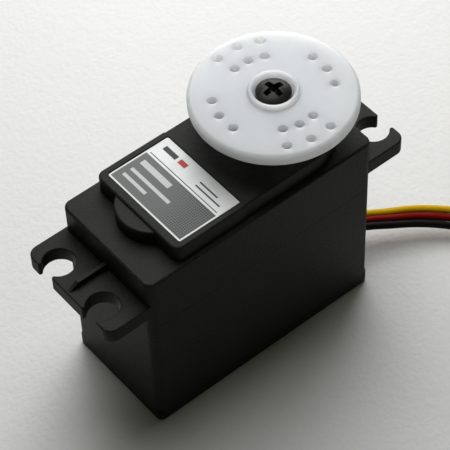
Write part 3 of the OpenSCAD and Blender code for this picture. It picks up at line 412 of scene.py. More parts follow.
# %% [markdown]
# ## Even shading
# A flat face beside a small round edge looks dented if its corners share their normals evenly. Weighted
# normals let the large face win, so flat stays flat and only the round edge turns.

# %% Pieces from a mesh
SHARP = radians(40)
SLIVER = radians(0.3)
WELD = 0.0005


def new_piece(name, bm):
    """An object that holds the given mesh."""
    mesh = bpy.data.meshes.new(name)
    bm.to_mesh(mesh)
    bm.free()
    return linked(name, mesh)


def evened(piece):
    """Smooth shading that keeps flat faces flat and sharp edges sharp."""
    piece.data.shade_smooth()
    piece.data.set_sharp_from_angle(angle=SHARP)
    even = piece.modifiers.new("even", "WEIGHTED_NORMAL")
    even.keep_sharp = True
    even.weight = 100
    return settled(piece)


def cleaned(piece):
    """Joins the slivers that cuts leave on flat faces, so that each face shades as one."""
    bm = bmesh.new()
    bm.from_mesh(piece.data)
    bmesh.ops.remove_doubles(bm, verts=bm.verts, dist=WELD * MM)
    bmesh.ops.dissolve_limit(bm, angle_limit=SLIVER, verts=bm.verts, edges=bm.edges)
    bm.to_mesh(piece.data)
    bm.free()
    return piece


def placed(piece, body, material, slot, *nodes):
    """Gives a finished piece its finish and its body, and hides the packed pieces that it stands for."""
    piece.data.name = piece.name
    piece.data.materials.clear()
    piece.data.materials.append(material)
    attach(piece, body)
    if nodes:
        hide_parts(*nodes)
    print(piece.name, "faces:", len(piece.data.polygons))


print("edges are sharp above", round(SHARP, 2), "radians")

# %% [markdown]
# ## Connector
# The wires end in a flat black housing with three channels and a small window over each contact's latch.
# The channels, the windows and the two fine lines between them are all boxes cut in a row, so one tree makes
# them: it takes boxes away at an even pitch.

# %% Tree that cuts boxes in a row
connector_plastic = moulded_plastic("connector_plastic", (0.013, 0.013, 0.014), (0.022, 0.022, 0.023), 0.4)
ROW_SIZES = ["Pitch", "Length", "Width", "Height", "Middle X", "Middle Z"]
row_of_cuts, given = new_tree("row_of_cuts", ROW_SIZES, ["Count"])
box_size = vector(given["Length"], given["Width"], given["Height"])
box_cut = box_size.node("GeometryNodeMeshCube", {}, {"Size": box_size})
first_place = vector(given["Middle X"], given["Pitch"] * (given["Count"] - 1) * -0.5, given["Middle Z"])
row_line = first_place.node("GeometryNodeMeshLine", {"mode": "OFFSET"},
    {"Count": given["Count"], "Start Location": first_place, "Offset": vector(0.0, given["Pitch"], 0.0)})
end_tree(cut_away(given["Mesh"], on_points(row_line, box_cut)), connector_plastic)

# %% Connector housing
CONNECTOR = Vector((14, 7.62, 2.8))
CONNECTOR_EDGE = 0.25
CONNECTOR_WALL = 1.2
CONTACT_PITCH = 2.54
CONTACT = 1.6
CHANNELS = (3, CONNECTOR.x, CONTACT, CONTACT, CONNECTOR_WALL + CONNECTOR.x / 2, CONNECTOR.z / 2)
WINDOWS = (3, 2.2, 1.3, 1.6, 7.2, CONNECTOR.z)
FINE_LINES = (2, 16.0, 0.2, 0.2, 7, CONNECTOR.z)
bm = bmesh.new()
bmesh.ops.create_cube(bm, size=1)
bmesh.ops.scale(bm, vec=CONNECTOR * MM, verts=bm.verts)
bmesh.ops.translate(bm, vec=Vector((CONNECTOR.x / 2, 0, CONNECTOR.z / 2)) * MM, verts=bm.verts)
bmesh.ops.bevel(bm, geom=bm.edges, offset=CONNECTOR_EDGE * MM, segments=3, profile=0.5, affect="EDGES")
housing = new_piece("connector", bm)
for count, *sizes in (CHANNELS, WINDOWS, FINE_LINES):
    use_tree(housing, row_of_cuts, dict(zip(ROW_SIZES, (CONTACT_PITCH, *sizes))), {"Count": count})
evened(settled(housing))
housing.data.transform(shift(*connector_back) @ spin(tail_turn))
placed(housing, "case", connector_plastic, "connector_plastic", "connector_housing")

# %% [markdown]
# ## Floor and light
# The motor stands on a pale, lightly grained table under two broad round lamps on its far side, one low and
# one high. They make the table fade towards the front and lay a soft shadow there, and a dim warm sky fills
# it. One lamp was tried first, but its shadow had no dark core beside the case. Lamps so near leave the far
# table dark, so a glow that only the camera sees keeps it pale there without lighting the motor.

# %% Table
TABLE_HALF = 1.5
GLOW_FROM = 130
GLOW_FULL = 330


@finish("table")
def table(place):
    """Pale matt table with a faint cloudiness, and a glow for the camera far from the motor."""
    x, y, _ = place.parts()
    away = (x * x + y * y).root()
    rays = [place.node("ShaderNodeLightPath", out=f"Is {ray} Ray") for ray in ("Camera", "Glossy", "Transmission")]
    glow = ((away - GLOW_FROM) / (GLOW_FULL - GLOW_FROM)).clamp() * (rays[0] + rays[1] + rays[2]).clamp()
    colour = (cloud(place, 9, 3) * 0.5 + cloud(place, 0.6) * 0.5).mix((0.785, 0.79, 0.78), (0.845, 0.845, 0.84))
    grain = cloud(place, 0.4) + cloud(place, 1.0)
    return surface(colour, cloud(place, 1) * 0.1 + 0.75, grain, 0.085, specular=0.2) | {
        "Emission Color": glow.mix((0, 0, 0), (0.78, 0.78, 0.77)), "Emission Strength": 1.0,
    }


bm = bmesh.new()
bmesh.ops.create_grid(bm, x_segments=8, y_segments=8, size=TABLE_HALF)
floor = new_piece("floor", bm)
floor.data.materials.append(table)

# %% Lamps and sky
LAMP_WIDTH = 0.2
LAMP_AIM = Vector((0, 0, 0.01))
LAMPS = {"low_lamp": ((0.1347, 0.1347, 0.11), 0.249), "high_lamp": ((0.0412, 0.0714, 0.204), 0.365)}
for name, (place, power) in LAMPS.items():
    lamp = linked(name, bpy.data.lights.new(name, "AREA"))
    lamp.data.shape = "DISK"
    lamp.data.size = LAMP_WIDTH
    lamp.data.energy = power
    lamp.location = place
    lamp.rotation_euler = (lamp.location - LAMP_AIM).to_track_quat("Z", "Y").to_euler()
    print(name, "power:", power)

world = bpy.data.worlds.new("sky")
world.use_nodes = True
feed(world.node_tree.nodes["Background"], {"Color": (1, 0.98, 0.6), "Strength": 0.036})
bpy.context.scene.world = world
bpy.context.scene.view_settings.view_transform = "Standard"

# %% [markdown]
# ## Outlines with rounded corners
# Most pieces start from a flat outline: the edge of a shell, the shape of a tab, the profile of a screw. An
# outline is written as its corners, each with its own rounding, and one function puts the arcs in. Blender's
# curves could round corners too, but plain points can be moved inwards for the edges that follow.

# %% Rounded outline, and the same outline further in
def rounded_outline(corners, steps=6):
    """Points of a closed outline; each corner is (x, y) or (x, y, rounding) in mm."""
    line = []
    for i, corner in enumerate(corners):
        here = Vector(corner[:2])
        if len(corner) == 2:
            line.append(here)
            continue
        rounding = corner[2]
        before = (Vector(corners[i - 1][:2]) - here).normalized()
        after = (Vector(corners[(i + 1) % len(corners)][:2]) - here).normalized()
        half = before.angle(after) / 2
        middle = here + (before + after).normalized() * (rounding / sin(half))
        start = here + before * (rounding / tan(half)) - middle
        end = here + after * (rounding / tan(half)) - middle
        sweep = atan2(start.x * end.y - start.y * end.x, start.dot(end))
        line += [middle + Matrix.Rotation(sweep * k / steps, 2) @ start for k in range(steps + 1)]
    return line


def inset(outline, distance):
    """An outline moved inwards; it runs anticlockwise."""
    moved = []
    for i, here in enumerate(outline):
        before = (here - outline[i - 1]).normalized()
        after = (outline[(i + 1) % len(outline)] - here).normalized()
        inwards = Vector((-before.y - after.y, before.x + after.x)).normalized()
        lean = inwards.dot(Vector((-before.y, before.x)))
        moved.append(here + inwards * (distance / max(lean, 0.4)))
    return moved


def box_outline(length, width, rounding, steps=12):
    """Anticlockwise rectangle about the origin with round corners."""
    x, y = length / 2, width / 2
    return rounded_outline([(x, -y, rounding), (x, y, rounding), (-x, y, rounding), (-x, -y, rounding)], steps)


print("points of a rounded box:", len(box_outline(40, 20, 1)))

# %% [markdown]
# ## Soft forms
# A soft form stands on an outline and has rounded lower and upper edges, like a bar of soap. It is built as
# rings of points, each ring a little further in than the one before. Soft forms are pieces by themselves, and
# they also round the edges of other pieces, as the case shows next.

# %% Soft form over an outline
def soft_form(name, outline, low, high, low_round=0, high_round=0, steps=5):
    """A closed form from one height to another; all sizes are in mm."""
    turns = [pi / 2 * k / steps for k in range(steps + 1)]
    rings = [(low_round * (1 - cos(t)), low + low_round * (1 - sin(t))) for t in (turns[::-1] if low_round else [0])]
    rings += [(high_round * (1 - cos(t)), high - high_round * (1 - sin(t))) for t in (turns if high_round else [0])]
    bm = bmesh.new()
    made = [[bm.verts.new((p.x * MM, p.y * MM, z * MM)) for p in inset(outline, d)] for d, z in rings]
    for lower, upper in zip(made, made[1:]):
        for i in range(len(lower)):
            j = (i + 1) % len(lower)
            bm.faces.new((lower[i], lower[j], upper[j], upper[i]))
    bm.faces.new(made[0][::-1])
    bm.faces.new(made[-1])
    return new_piece(name, bm)


def combined(piece, other, operation):
    """Joins, cuts or intersects a piece with another one, which is used up."""
    step = piece.modifiers.new(operation, "BOOLEAN")
    step.operation = operation
    step.solver = "MANIFOLD"
    step.object = other
    settled(piece)
    bpy.data.objects.remove(other)
    return piece


print("soft forms are joined and cut by", combined.__name__)

# %% [markdown]
# ## Case
# Three moulded shells: a shallow bottom cover, a middle with the mounting tabs, and a top with its platform.
# A mould can't fill a knife edge, so every outer edge is a little round, and that is what catches the light.
# The packed meshes are exact but sharp. A Bevel modifier stumbles where a flat face has other shapes standing
# on it, so each shell is intersected with soft forms of the same outlines instead: whatever sticks out of
# them, the sharp edge, is lost.

# %% Round the edges of a packed piece
GROW = 0.004


def rounded_copy(node, name, forms):
    """A copy of a packed piece, cut to soft forms: (outline, low, high, roundings), and a place if turned."""
    bm = bmesh.new()
    bm.from_mesh(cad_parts[node].data)
    bmesh.ops.remove_doubles(bm, verts=bm.verts, dist=2 * WELD * MM)
    piece = new_piece(name, bm)
    for old in ("custom_normal", "sharp_edge", "sharp_face"):
        if old in piece.data.attributes:
            piece.data.attributes.remove(piece.data.attributes[old])
    envelope = None
    for outline, low, high, low_round, high_round, *place in forms:
        form = soft_form("form", inset(outline, -GROW), low - GROW, high + GROW, low_round, high_round)
        for turn in place:
            form.data.transform(turn)
        envelope = combined(envelope, form, "UNION") if envelope else form
    placed(evened(combined(piece, envelope, "INTERSECT")), "case", case_plastic, "case_plastic", node)


print("forms grow by", GROW, "mm before they cut a shell")

# %% Top case
CASE = (40.4, 19.6)
CASE_CORNER = 1.4
OUTPUT_X = 10.15


def circle(x, radius, count=96):
    """Outline of a circle whose middle lies on the X axis."""
    return [Vector((x + radius * cos(2 * pi * k / count), radius * sin(2 * pi * k / count))) for k in range(count)]


platform = rounded_outline([
    (-14.6, -9, 1.3), (-2.4, -9), (-2.4, -8.85), (19, -8.85, 8.85), (19, 8.85, 8.85), (-2.4, 8.85),
    (-2.4, 9), (-14.6, 9, 1.3),
], 40)
bulge = circle(-11.3, 5.5)
collar = circle(OUTPUT_X, 6.2)
rounded_copy("top_case", "case_top", [
    (box_outline(*CASE, CASE_CORNER, 16), 26, 31.6, 0, 0.4), (platform, 30, 34.4, 0, 0.35),
    (bulge, 30, 34.0, 0, 0.25), (collar, 30, 35.4, 0, 0.2),
])

# %% Middle case
TAB_END = 27.0
TAB_HALF = 9.45
TAB_CORNER = 1.6
SLOT_X = 24.6
SLOT_Y = 5.0
SLOT_R = 2.4
MOUTH_HALF = 1.45
RIB_HALF = 0.35
RIB_EDGE = 0.14


def slot_corners(y):
    """Corners of one open slot, from its lower lip round to its upper lip."""
    opening = atan2(MOUTH_HALF, (SLOT_R**2 - MOUTH_HALF**2) ** 0.5)
    lip_x = SLOT_X + SLOT_R * cos(opening)
    arc = [-opening - (2 * pi - 2 * opening) * k / 40 for k in range(1, 40)]
    return (
        [(TAB_END, y - MOUTH_HALF, 0.3), (lip_x, y - MOUTH_HALF, 0.12)]
        + [(SLOT_X + SLOT_R * cos(a), y + SLOT_R * sin(a)) for a in arc]
        + [(lip_x, y + MOUTH_HALF, 0.12), (TAB_END, y + MOUTH_HALF, 0.3)]
    )


half_tabs = [(TAB_END, -TAB_HALF, TAB_CORNER), *slot_corners(-SLOT_Y), *slot_corners(SLOT_Y),
    (TAB_END, TAB_HALF, TAB_CORNER)]
tabs = rounded_outline(half_tabs + [(-x, -y, *r) for x, y, *r in half_tabs], 10)
rib = rounded_outline([(19, 25), (26.9, 25), (26.9, 26.82), (25.1, 28, 0.3), (20.2, 28), (19, 28)])
rib_forms = [(rib, -RIB_HALF, RIB_HALF, RIB_EDGE, RIB_EDGE, spin(turn) @ spin(pi / 2, "X")) for turn in (0, pi)]
rounded_copy("middle_case", "case_middle", [
    (box_outline(*CASE, CASE_CORNER, 16), 2.0, 27.0, 0.04, 0), (tabs, 24.5, 27.0, 0.22, 0.22), *rib_forms,
])

# %% Bottom cover
rounded_copy("bottom_cover", "case_bottom", [
    (box_outline(*CASE, 1.0, 16), 0, 2.0, 0.3, 0.04), (box_outline(38, 17.2, 0.3), 1, 3.2, 0, 0),
])

# %% [markdown]
# ## Turned pieces
# The horn and the screws are round, so a profile turned about an axis gives them. The profile could also be
# spun with a Screw modifier, but a few lines of mesh code close the ends cleanly.

# %% Turn a profile
def turned(name, corners, steps):
    """A closed profile of (radius, height) corners, turned about the Z axis."""
    bm = bmesh.new()
    rings = []
    for r, z in rounded_outline(corners):
        count = steps if r > 1e-6 else 1
        rings.append([bm.verts.new((r * MM * cos(2 * pi * s / steps), r * MM * sin(2 * pi * s / steps), z * MM))
            for s in range(count)])
    for low, high in zip(rings, rings[1:] + rings[:1]):
        for s in range(steps):
            t = (s + 1) % steps
            face = dict.fromkeys((low[s % len(low)], low[t % len(low)], high[t % len(high)], high[s % len(high)]))
            if len(face) > 2:
                bm.faces.new(list(face))
    bmesh.ops.remove_doubles(bm, verts=bm.verts, dist=WELD * MM)
    bmesh.ops.recalc_face_normals(bm, faces=bm.faces)
    return new_piece(name, bm)


print("profiles are turned by", turned.__name__)

# %% [markdown]
# ## Horn
# The round horn is white nylon: light goes a little way into it, so its edges glow and its shadows are soft.
# Its disc carries four groups of fixing holes on three circles, and the hub holds a plain socket for the
# shaft. One tree takes an arc of cuts out of the disc, and it is used once for each row of three holes.

# %% Nylon
@finish("horn_plastic")
def nylon(place):
    """White nylon with faint flow marks and a soft gloss."""
    flow = cloud(place, 3, 3)
    fine = cloud(place, 0.25)
    colour = flow.mix((0.605, 0.64, 0.675), (0.655, 0.685, 0.715))
    height = fine * 0.4 + flow * 0.6
    return surface(colour, flow * 0.1 + fine * 0.08 + 0.36, height, 0.02, specular=0.3) | {
        "Subsurface Weight": 1.0, "Subsurface Radius": (1, 0.97, 0.92), "Subsurface Scale": 10 * MM,
    }


# %% Tree that cuts a ring of holes with eased rims
ring_of_cuts, given = new_tree("ring_of_cuts",
    ["Ring radius", "First angle", "Step angle", "Cut radius", "Rim", "Low", "High"], ["Count", "Sides"])
depth = given["High"] - given["Low"]
angle = depth.node("GeometryNodeInputIndex") * given["Step angle"] + given["First angle"]
spot = vector(given["Ring radius"], 0.0, (given["Low"] + given["High"]) * 0.5)
spot = spot.node("ShaderNodeVectorRotate", {"rotation_type": "Z_AXIS"}, {"Vector": spot, "Angle": angle})
spots = spot.node("GeometryNodePoints", {}, {"Count": given["Count"], "Position": spot})
cuts = [spots.node("GeometryNodeMeshCylinder", {},
    {"Vertices": given["Sides"], "Radius": given["Cut radius"], "Depth": depth * 1.5})]
for side in (-1, 1):
    flare = spots.node("GeometryNodeMeshCone", {}, {
        "Vertices": given["Sides"], "Depth": given["Rim"] * 2,
        "Radius Top": given["Cut radius"] + given["Rim"] * side,
        "Radius Bottom": given["Cut radius"] - given["Rim"] * side,
    })
    at_rim = vector(0.0, 0.0, side * 0.5 * depth - given["Rim"])
    cuts.append(flare.node("GeometryNodeTransform", {}, {"Geometry": flare, "Translation": at_rim}))
end_tree(cut_away(given["Mesh"], *(on_points(spots, cut) for cut in cuts)), nylon)

# %% Horn's disc, hub and holes
HORN_R = 12.05
HORN_LOW = 38.9
HORN_TOP = 40.9
HORN_TURN = radians(-10)
HUB_R, HUB_LOW, SOCKET_R, BORE_R = 4.4, 35.8, 2.62, 1.4
RING_R, RING_TOP, SEAT_R, SEAT = 3.6, 41.5, 3.0, 40.0
HOLE_R = 0.72
HOLE_RIM = 0.1
HOLE_STEP = 20
HOLE_ROWS = [(0, 8.6), (90, 7), (90, 10.1), (180, 8.6), (270, 7), (270, 10.1)]
horn = turned("horn", [
    (SOCKET_R, HUB_LOW, 0.1), (HUB_R, HUB_LOW, 0.25), (HUB_R, HORN_LOW, 0.4), (HORN_R, HORN_LOW, 0.55),
    (HORN_R, HORN_TOP, 0.6), (11.2, HORN_TOP), (4.2, HORN_TOP), (RING_R, HORN_TOP, 0.25), (RING_R, RING_TOP, 0.2),
    (SEAT_R, RING_TOP, 0.12), (SEAT_R, SEAT), (BORE_R, SEAT), (BORE_R, HORN_LOW), (SOCKET_R, HORN_LOW),
], 160)
for middle, radius in HOLE_ROWS:
    use_tree(horn, ring_of_cuts, {
        "Ring radius": radius, "Cut radius": HOLE_R, "Rim": HOLE_RIM, "Low": HORN_LOW, "High": HORN_TOP,
    }, {"First angle": radians(middle - HOLE_STEP), "Step angle": radians(HOLE_STEP), "Count": 3, "Sides": 32})
cleaned(settled(horn))
horn.data.transform(shift(OUTPUT_X) @ spin(HORN_TURN))
placed(evened(horn), "output", nylon, "horn_plastic", "wheel_horn")

# %% [markdown]
# ## Screws
# All the screws have a cross recess. One tree cuts the cross with two tapered blades and sets copies of the
# screw out on a grid, so the single horn screw, the four case screws and the two motor screws differ only
# in their profile and their numbers.

# %% Blackened and plain screw steel
def screw_finish(name, dark, light, roughness, metallic, specular=0.5):
    """Screw steel with fine turning marks and a patchy gloss."""
    @finish(name)
    def metal(place):
        marks = cloud(place.stretched((1, 1, 12)), 0.4)
        patch = cloud(place, 0.8)
        gloss = patch * 0.15 + marks * 0.1 + (roughness - 0.12)
        return surface(patch.mix(dark, light), gloss, marks, 0.006, metallic - patch * 0.1, specular)
    return metal


black_screw = screw_finish("black_screw", (0.008, 0.0079, 0.0068), (0.018, 0.0178, 0.0155), 0.3, 0.2, 0.2)
steel = screw_finish("steel", (0.45, 0.45, 0.46), (0.58, 0.58, 0.59), 0.3, 1.0)

# %% Tree that cuts crosses and sets screws out
def with_cross(given):
    """A screw with a cross cut into its head."""
    blade = given["Mesh"].node("GeometryNodeMeshCone", {}, {
        "Vertices": 4, "Radius Top": 2.2, "Radius Bottom": 0.6, "Depth": given["Depth"] * 2,
    })
    blade = blade.node("GeometryNodeTransform", {}, {"Geometry": blade, "Rotation": (0, 0, pi / 4)})
    foot = vector(0.0, 0.0, given["Head"] - given["Depth"])
    wings = [blade.node("GeometryNodeTransform", {}, {
        "Geometry": blade, "Scale": vector(*size, 1.0), "Translation": foot,
    }) for size in ((given["Reach"], given["Width"] * 0.5), (given["Width"] * 0.5, given["Reach"]))]
    return cut_away(given["Mesh"], *wings)


SCREW_SIZES = ["Reach", "Width", "Depth", "Head", "Spacing X", "Spacing Y"]


def copies_tree(name, material, crossed=False):
    """Sets copies of a piece out on a grid about the origin; a screw first gets its cross."""
    tree, given = new_tree(name, SCREW_SIZES if crossed else SCREW_SIZES[4:], ["Columns", "Rows"])
    shape = with_cross(given) if crossed else given["Mesh"]
    grid = shape.node("GeometryNodeMeshGrid", {}, {
        "Size X": given["Spacing X"], "Size Y": given["Spacing Y"], "Vertices X": given["Columns"],
        "Vertices Y": given["Rows"],
    })
    end_tree(on_points(grid, shape), material)
    return tree


black_screws = copies_tree("black_screws", black_screw, crossed=True)
steel_screws = copies_tree("steel_screws", steel, crossed=True)

# %% Threads, domed heads and whole screws
def thread(radius, root, low, high, pitch):
    """Corners of a ringed shaft, from its tip upwards."""
    corners = [(0, low), (root * 0.8, low)]
    for k in range(int((high - low) / pitch)):
        z = low + k * pitch
        corners += [(root, z + 0.2 * pitch), (radius, z + 0.5 * pitch), (radius, z + 0.58 * pitch),
            (root, z + 0.88 * pitch)]
    return corners + [(root, high)]


def dome(radius, edge, top, steps=10):
    """Corners of a domed head from the height of its edge up to its top."""
    rise = top - edge
    ball = (rise**2 + radius**2) / (2 * rise)
    slope = asin(radius / ball)
    return [(ball * sin(slope * (1 - k / steps)), top - ball + ball * cos(slope * (1 - k / steps)))
        for k in range(steps)] + [(0, top)]


def screws(name, corners, steps, tree, sizes, columns, rows, move, *placing):
    """Turns a screw, cuts its cross to the tree's sizes, sets copies out and puts them in place."""
    piece = turned(name, corners, steps)
    use_tree(piece, tree, dict(zip(SCREW_SIZES, sizes)), {"Columns": columns, "Rows": rows})
    settled(piece)
    piece.data.transform(move)
    placed(evened(piece), *placing)


print("corners of a dome:", len(dome(2.55, 40.95, 41.7)))

# %% Horn screw, and four case screws that are driven from below
screws("horn_pan_screw", [
    *thread(1.25, 1.0, 33.0, 39.3, 0.7), (1.25, 39.5), (1.25, 40.0), (2.55, 40.0, 0.1),
    *dome(2.55, 40.95, 41.7),
], 64, black_screws, (1.85, 1.0, 1.2, 41.7), 1, 1, shift(OUTPUT_X), "output", black_screw, "black_screw",
    "horn_screw")
screws("long_case_screws", [
    *thread(0.95, 0.7, -29.8, -20.8, 0.7), (0.9, -20.6), (0.9, -0.95), (1.75, -0.95, 0.08),
    *dome(1.75, -0.5, -0.15, 6),
], 32, black_screws, (1.2, 0.6, 0.55, -0.15, 35.2, 14.4), 2, 2, spin(pi, "X"), "case", black_screw, "black_screw",
    "case_screws")

# %% Two motor screws
MOTOR_X = -9.85
screws("short_motor_screws", [
    *thread(0.8, 0.6, 20.7, 22.9, 0.45), (0.78, 23.0), (0.78, 23.1), (1.4, 23.1, 0.06),
    *dome(1.4, 23.4, 23.7, 6),
], 32, steel_screws, (1.0, 0.5, 0.4, 23.7, 0, 10.8), 1, 2, shift(MOTOR_X), "case", steel, "steel", "motor_screws")

# %% [markdown]
# ## Label
# A printed foil label lies in the platform's pocket. Its print here is a plain design of bars, a fine dot
# field and a border, drawn with sums on the place, so that it stays sharp at any size.

# %% Label print
LABEL_LOW = Vector((-13.2, -7.9))
LABEL_HIGH = Vector((-2.6, 7.9))
DOT_PITCH = 0.36
INK, GREY, PALE, RED = (0.022, 0.023, 0.024), (0.135, 0.142, 0.142), (0.62, 0.63, 0.63), (0.35, 0.03, 0.02)
BARS = [
    (INK, 6.9, 7.1, 0.6, 15.2), (PALE, 4.6, 5.6, 1.2, 7.4), (PALE, 2.9, 3.5, 1.2, 9.6), (PALE, 1.5, 2.1, 1.2, 6.2),
    (INK, 8.6, 9.5, 1.2, 4.0), (INK, 7.8, 8.1, 9.4, 14.6), (INK, 8.6, 8.9, 9.4, 13.2), (RED, 8.6, 9.5, 4.5, 6.1),
]


def past(value, limit, soft=0.05):
    """0 below a limit and 1 above it, with a soft step."""
    return ((value - limit) / soft).clamp()


def within(value, low, high, soft=0.05):
    """1 where a value lies between two limits, with soft ends."""
    return past(value, low, soft) * past(high, value, soft)


@finish("label_print")
def label_print(place):
    """Foil label: pale band, grey field with fading dots, a few bars and a border."""
    x, y, _ = place.parts()
    across, along = x - LABEL_LOW.x, LABEL_HIGH.y - y

    def bar(low_across, high_across, low_along, high_along):
        return within(across, low_across, high_across) * within(along, low_along, high_along)

    dots = abs(across % DOT_PITCH - DOT_PITCH / 2).most(abs(along % DOT_PITCH - DOT_PITCH / 2))
    fade = ((along - 3) / 10).clamp()
    dot_field = past(0.05 + fade * 0.08, dots, 0.03)
    field = bar(0.25, 6.6, 0.25, 15.55)
    colour = field.mix(PALE, (dot_field * fade).mix(GREY, INK))
    for paint, *limits in BARS:
        colour = bar(*limits).mix(colour, paint)
    wear = cloud(place, 1.2, 4)
    return surface((wear * 0.16).mix(colour, GREY), wear * 0.15 + 0.36, cloud(place, 2), 0.03, (1 - field) * 0.2, 0.2)


# %% Label foil
label = soft_form("label_foil", box_outline(*(LABEL_HIGH - LABEL_LOW), 0.25), 34.1, 34.25, 0, 0.05, 3)
label.data.transform(shift(*((LABEL_LOW + LABEL_HIGH) / 2)))
placed(evened(label), "case", label_print, "label_print", "label")

# %% [markdown]
# ## Grommet and tie
# A rubber grommet fills the notch in the end wall, and its tapered nose keeps the wires from bending sharply.
# Further on, a plastic tie holds the turns of the put-away lead. Both are soft forms joined or cut, because a
# few rounded blocks are all that the real ones are. With the tie and the connector made, each wire is hung on
# the case's body, and the packed wire and coil that it stands for are hidden.

# %% Grommet
LENGTHWAYS = Matrix(((0, 0, 1, 0), (1, 0, 0, 0), (0, 1, 0, 0), (0, 0, 0, 1)))
EXIT_Y = -2.4
EXIT_Z = 4.4
rubber = moulded_plastic("grommet_rubber", (0.007, 0.007, 0.007), (0.014, 0.014, 0.013), 0.62, grain=0.3,
    depth=0.015, specular=0.2)
grommet = soft_form("grommet", box_outline(4.6, 4.78, 0.15, 4), 18.4, 20.24, 0.1, 0)
for width, height, corner, low, high, edge in ((5.4, 4, 0.9, 20.22, 20.9, 0.2), (4.3, 1.9, 0.9, 20.6, 22.2, 0.35)):
    combined(grommet, soft_form("block", box_outline(width, height, corner), low, high, 0.05, edge), "UNION")
grommet.data.transform(shift(0, EXIT_Y, EXIT_Z) @ LENGTHWAYS)
placed(evened(cleaned(grommet)), "case", rubber, "grommet_rubber", "wire_grommet")

# %% Tie
TIE_TURN = radians(200)
TIE_MIDDLE = 10.17
tie_plastic = moulded_plastic("tie_plastic", (0.014, 0.014, 0.014), (0.024, 0.024, 0.024), 0.4, grain=0.3,
    specular=0.3)
tie = soft_form("tie", box_outline(6.24, 4.6, 0.65), -1.25, 1.25, 0.12, 0.12)
combined(tie, soft_form("opening", box_outline(5.54, 3.9, 0.3), -2, 2), "DIFFERENCE")
for length, height, x, y, half, edge in ((3, 1.9, 0.6, 3.2, 1.5, 0.2), (0.4, 1.6, 0.9, 4.6, 1.0, 0.1)):
    block = soft_form("block", box_outline(length, height, 0.15, 4), -half, half, edge, edge)
    block.data.transform(shift(x, y))
    combined(tie, block, "UNION")
tie.data.transform(shift(coil_x, coil_y, coil_z) @ spin(TIE_TURN) @ shift(TIE_MIDDLE) @ spin(pi / 2, "X"))
placed(evened(cleaned(tie)), "case", tie_plastic, "tie_plastic", "wire_tie")

WIRE_NODES = {"yellow": "signal_wire", "red": "power_wire", "black": "ground_wire"}
for colour, (piece, line) in wires.items():
    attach(piece, "case")
    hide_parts(WIRE_NODES[colour], WIRE_NODES[colour] + "_coil")
    "wire_" + colour
print("cords declared:", len(wires))

# %% [markdown]
# ## Inner wires
# Inside the grommet the three wires stand side by side and end in bare strands, tinned for the board. They
# could be curves again, but they are short and straight, so one is turned and the screws' tree copies it.

# %% Finish of the inner wires, stripped and tinned at the board
STRIPPED_AT = 14.6
BARE_TIN = (0.62, 0.61, 0.58)


@finish("inner_wire")
def inner_wire(place):
    """Three jacket colours from side to side, and bare tinned strands at the end."""
    x, y, _ = place.parts()
    drift = cloud(place, 0.6)
    bare = past(STRIPPED_AT, x)
    red = drift.mix((0.20, 0.004, 0.002), (0.27, 0.007, 0.004))
    colour = past(y, EXIT_Y - PITCH / 2).mix((0.008, 0.008, 0.0075), red)
    colour = past(y, EXIT_Y + PITCH / 2).mix(colour, drift.mix(*JACKETS["yellow"]))
    return surface(bare.mix(colour, BARE_TIN), drift * 0.1 + 0.36, drift, 0.02, bare)


# %% Row of inner wires
inner_wires = turned("stripped_wires", [
    (0, 13.4), (0.34, 13.4, 0.1), (0.38, STRIPPED_AT), (WIRE / 2, STRIPPED_AT, 0.08), (WIRE / 2, 18.42), (0, 18.42),
], 20)
inner_wires.data.transform(shift(0, EXIT_Y, EXIT_Z) @ LENGTHWAYS)
use_tree(inner_wires, copies_tree("wire_row", inner_wire), {"Spacing Y": 2 * PITCH}, {"Columns": 1, "Rows": 3})
placed(evened(settled(inner_wires)), "case", inner_wire, "wire_black", "inner_wires")

# %% [markdown]
# ## Drive inside the case
# The gears, the bearing and the motor are hidden when the case is closed, but the part can be taken apart.
# Their packed shapes are right as they are, teeth and all, so they stay and only get finishes: pale slippery
# gear plastic, bright steel, sintered bronze, stacked core sheets and enamelled copper wire.

# %% Finishes of the drive
def sintered_finish(name, dark, light, roughness, metallic):
    """Pressed powder metal or ferrite: a fine speckle with small pores."""
    @finish(name)
    def pressed(place):
        speck = cloud(place, 0.12, 3)
        colour = (speck * 0.6 + cloud(place, 1.5) * 0.4).mix(dark, light)
        return surface(colour, speck * 0.25 + (roughness - 0.12), speck, 0.02, metallic - speck * 0.15)
    return pressed


gear_plastic = moulded_plastic("gear_plastic", (0.58, 0.54, 0.43), (0.66, 0.62, 0.50), 0.36, grain=0.4, depth=0.006)
cap_plastic = moulded_plastic("cap_plastic", (0.52, 0.50, 0.44), (0.60, 0.58, 0.52), 0.5, grain=0.25)
bronze = sintered_finish("bronze", (0.30, 0.17, 0.05), (0.45, 0.27, 0.09), 0.42, 1.0)
magnet = sintered_finish("magnet", (0.018, 0.018, 0.020), (0.045, 0.045, 0.048), 0.7, 0.2)
brush = sintered_finish("brush", (0.10, 0.055, 0.03), (0.20, 0.12, 0.07), 0.6, 0.6)
tin = screw_finish("tin", (0.60, 0.56, 0.44), (0.70, 0.66, 0.54), 0.32, 1.0)

# %% Core of stacked sheets, and its windings
SHEET = 0.35
TURN = 0.3


@finish("core_steel")
def core_steel(place):
    """Core of thin steel sheets, seen as fine lines round it."""
    line = within(place.parts()[2] % SHEET, 0, 0.07, 0.03)
    patch = cloud(place, 0.5, 3)
    colour = line.mix(patch.mix((0.16, 0.16, 0.17), (0.27, 0.27, 0.28)), (0.05, 0.05, 0.05))
    return surface(colour, patch * 0.2 + 0.35, 1 - line, 0.04, 1 - line * 0.5)


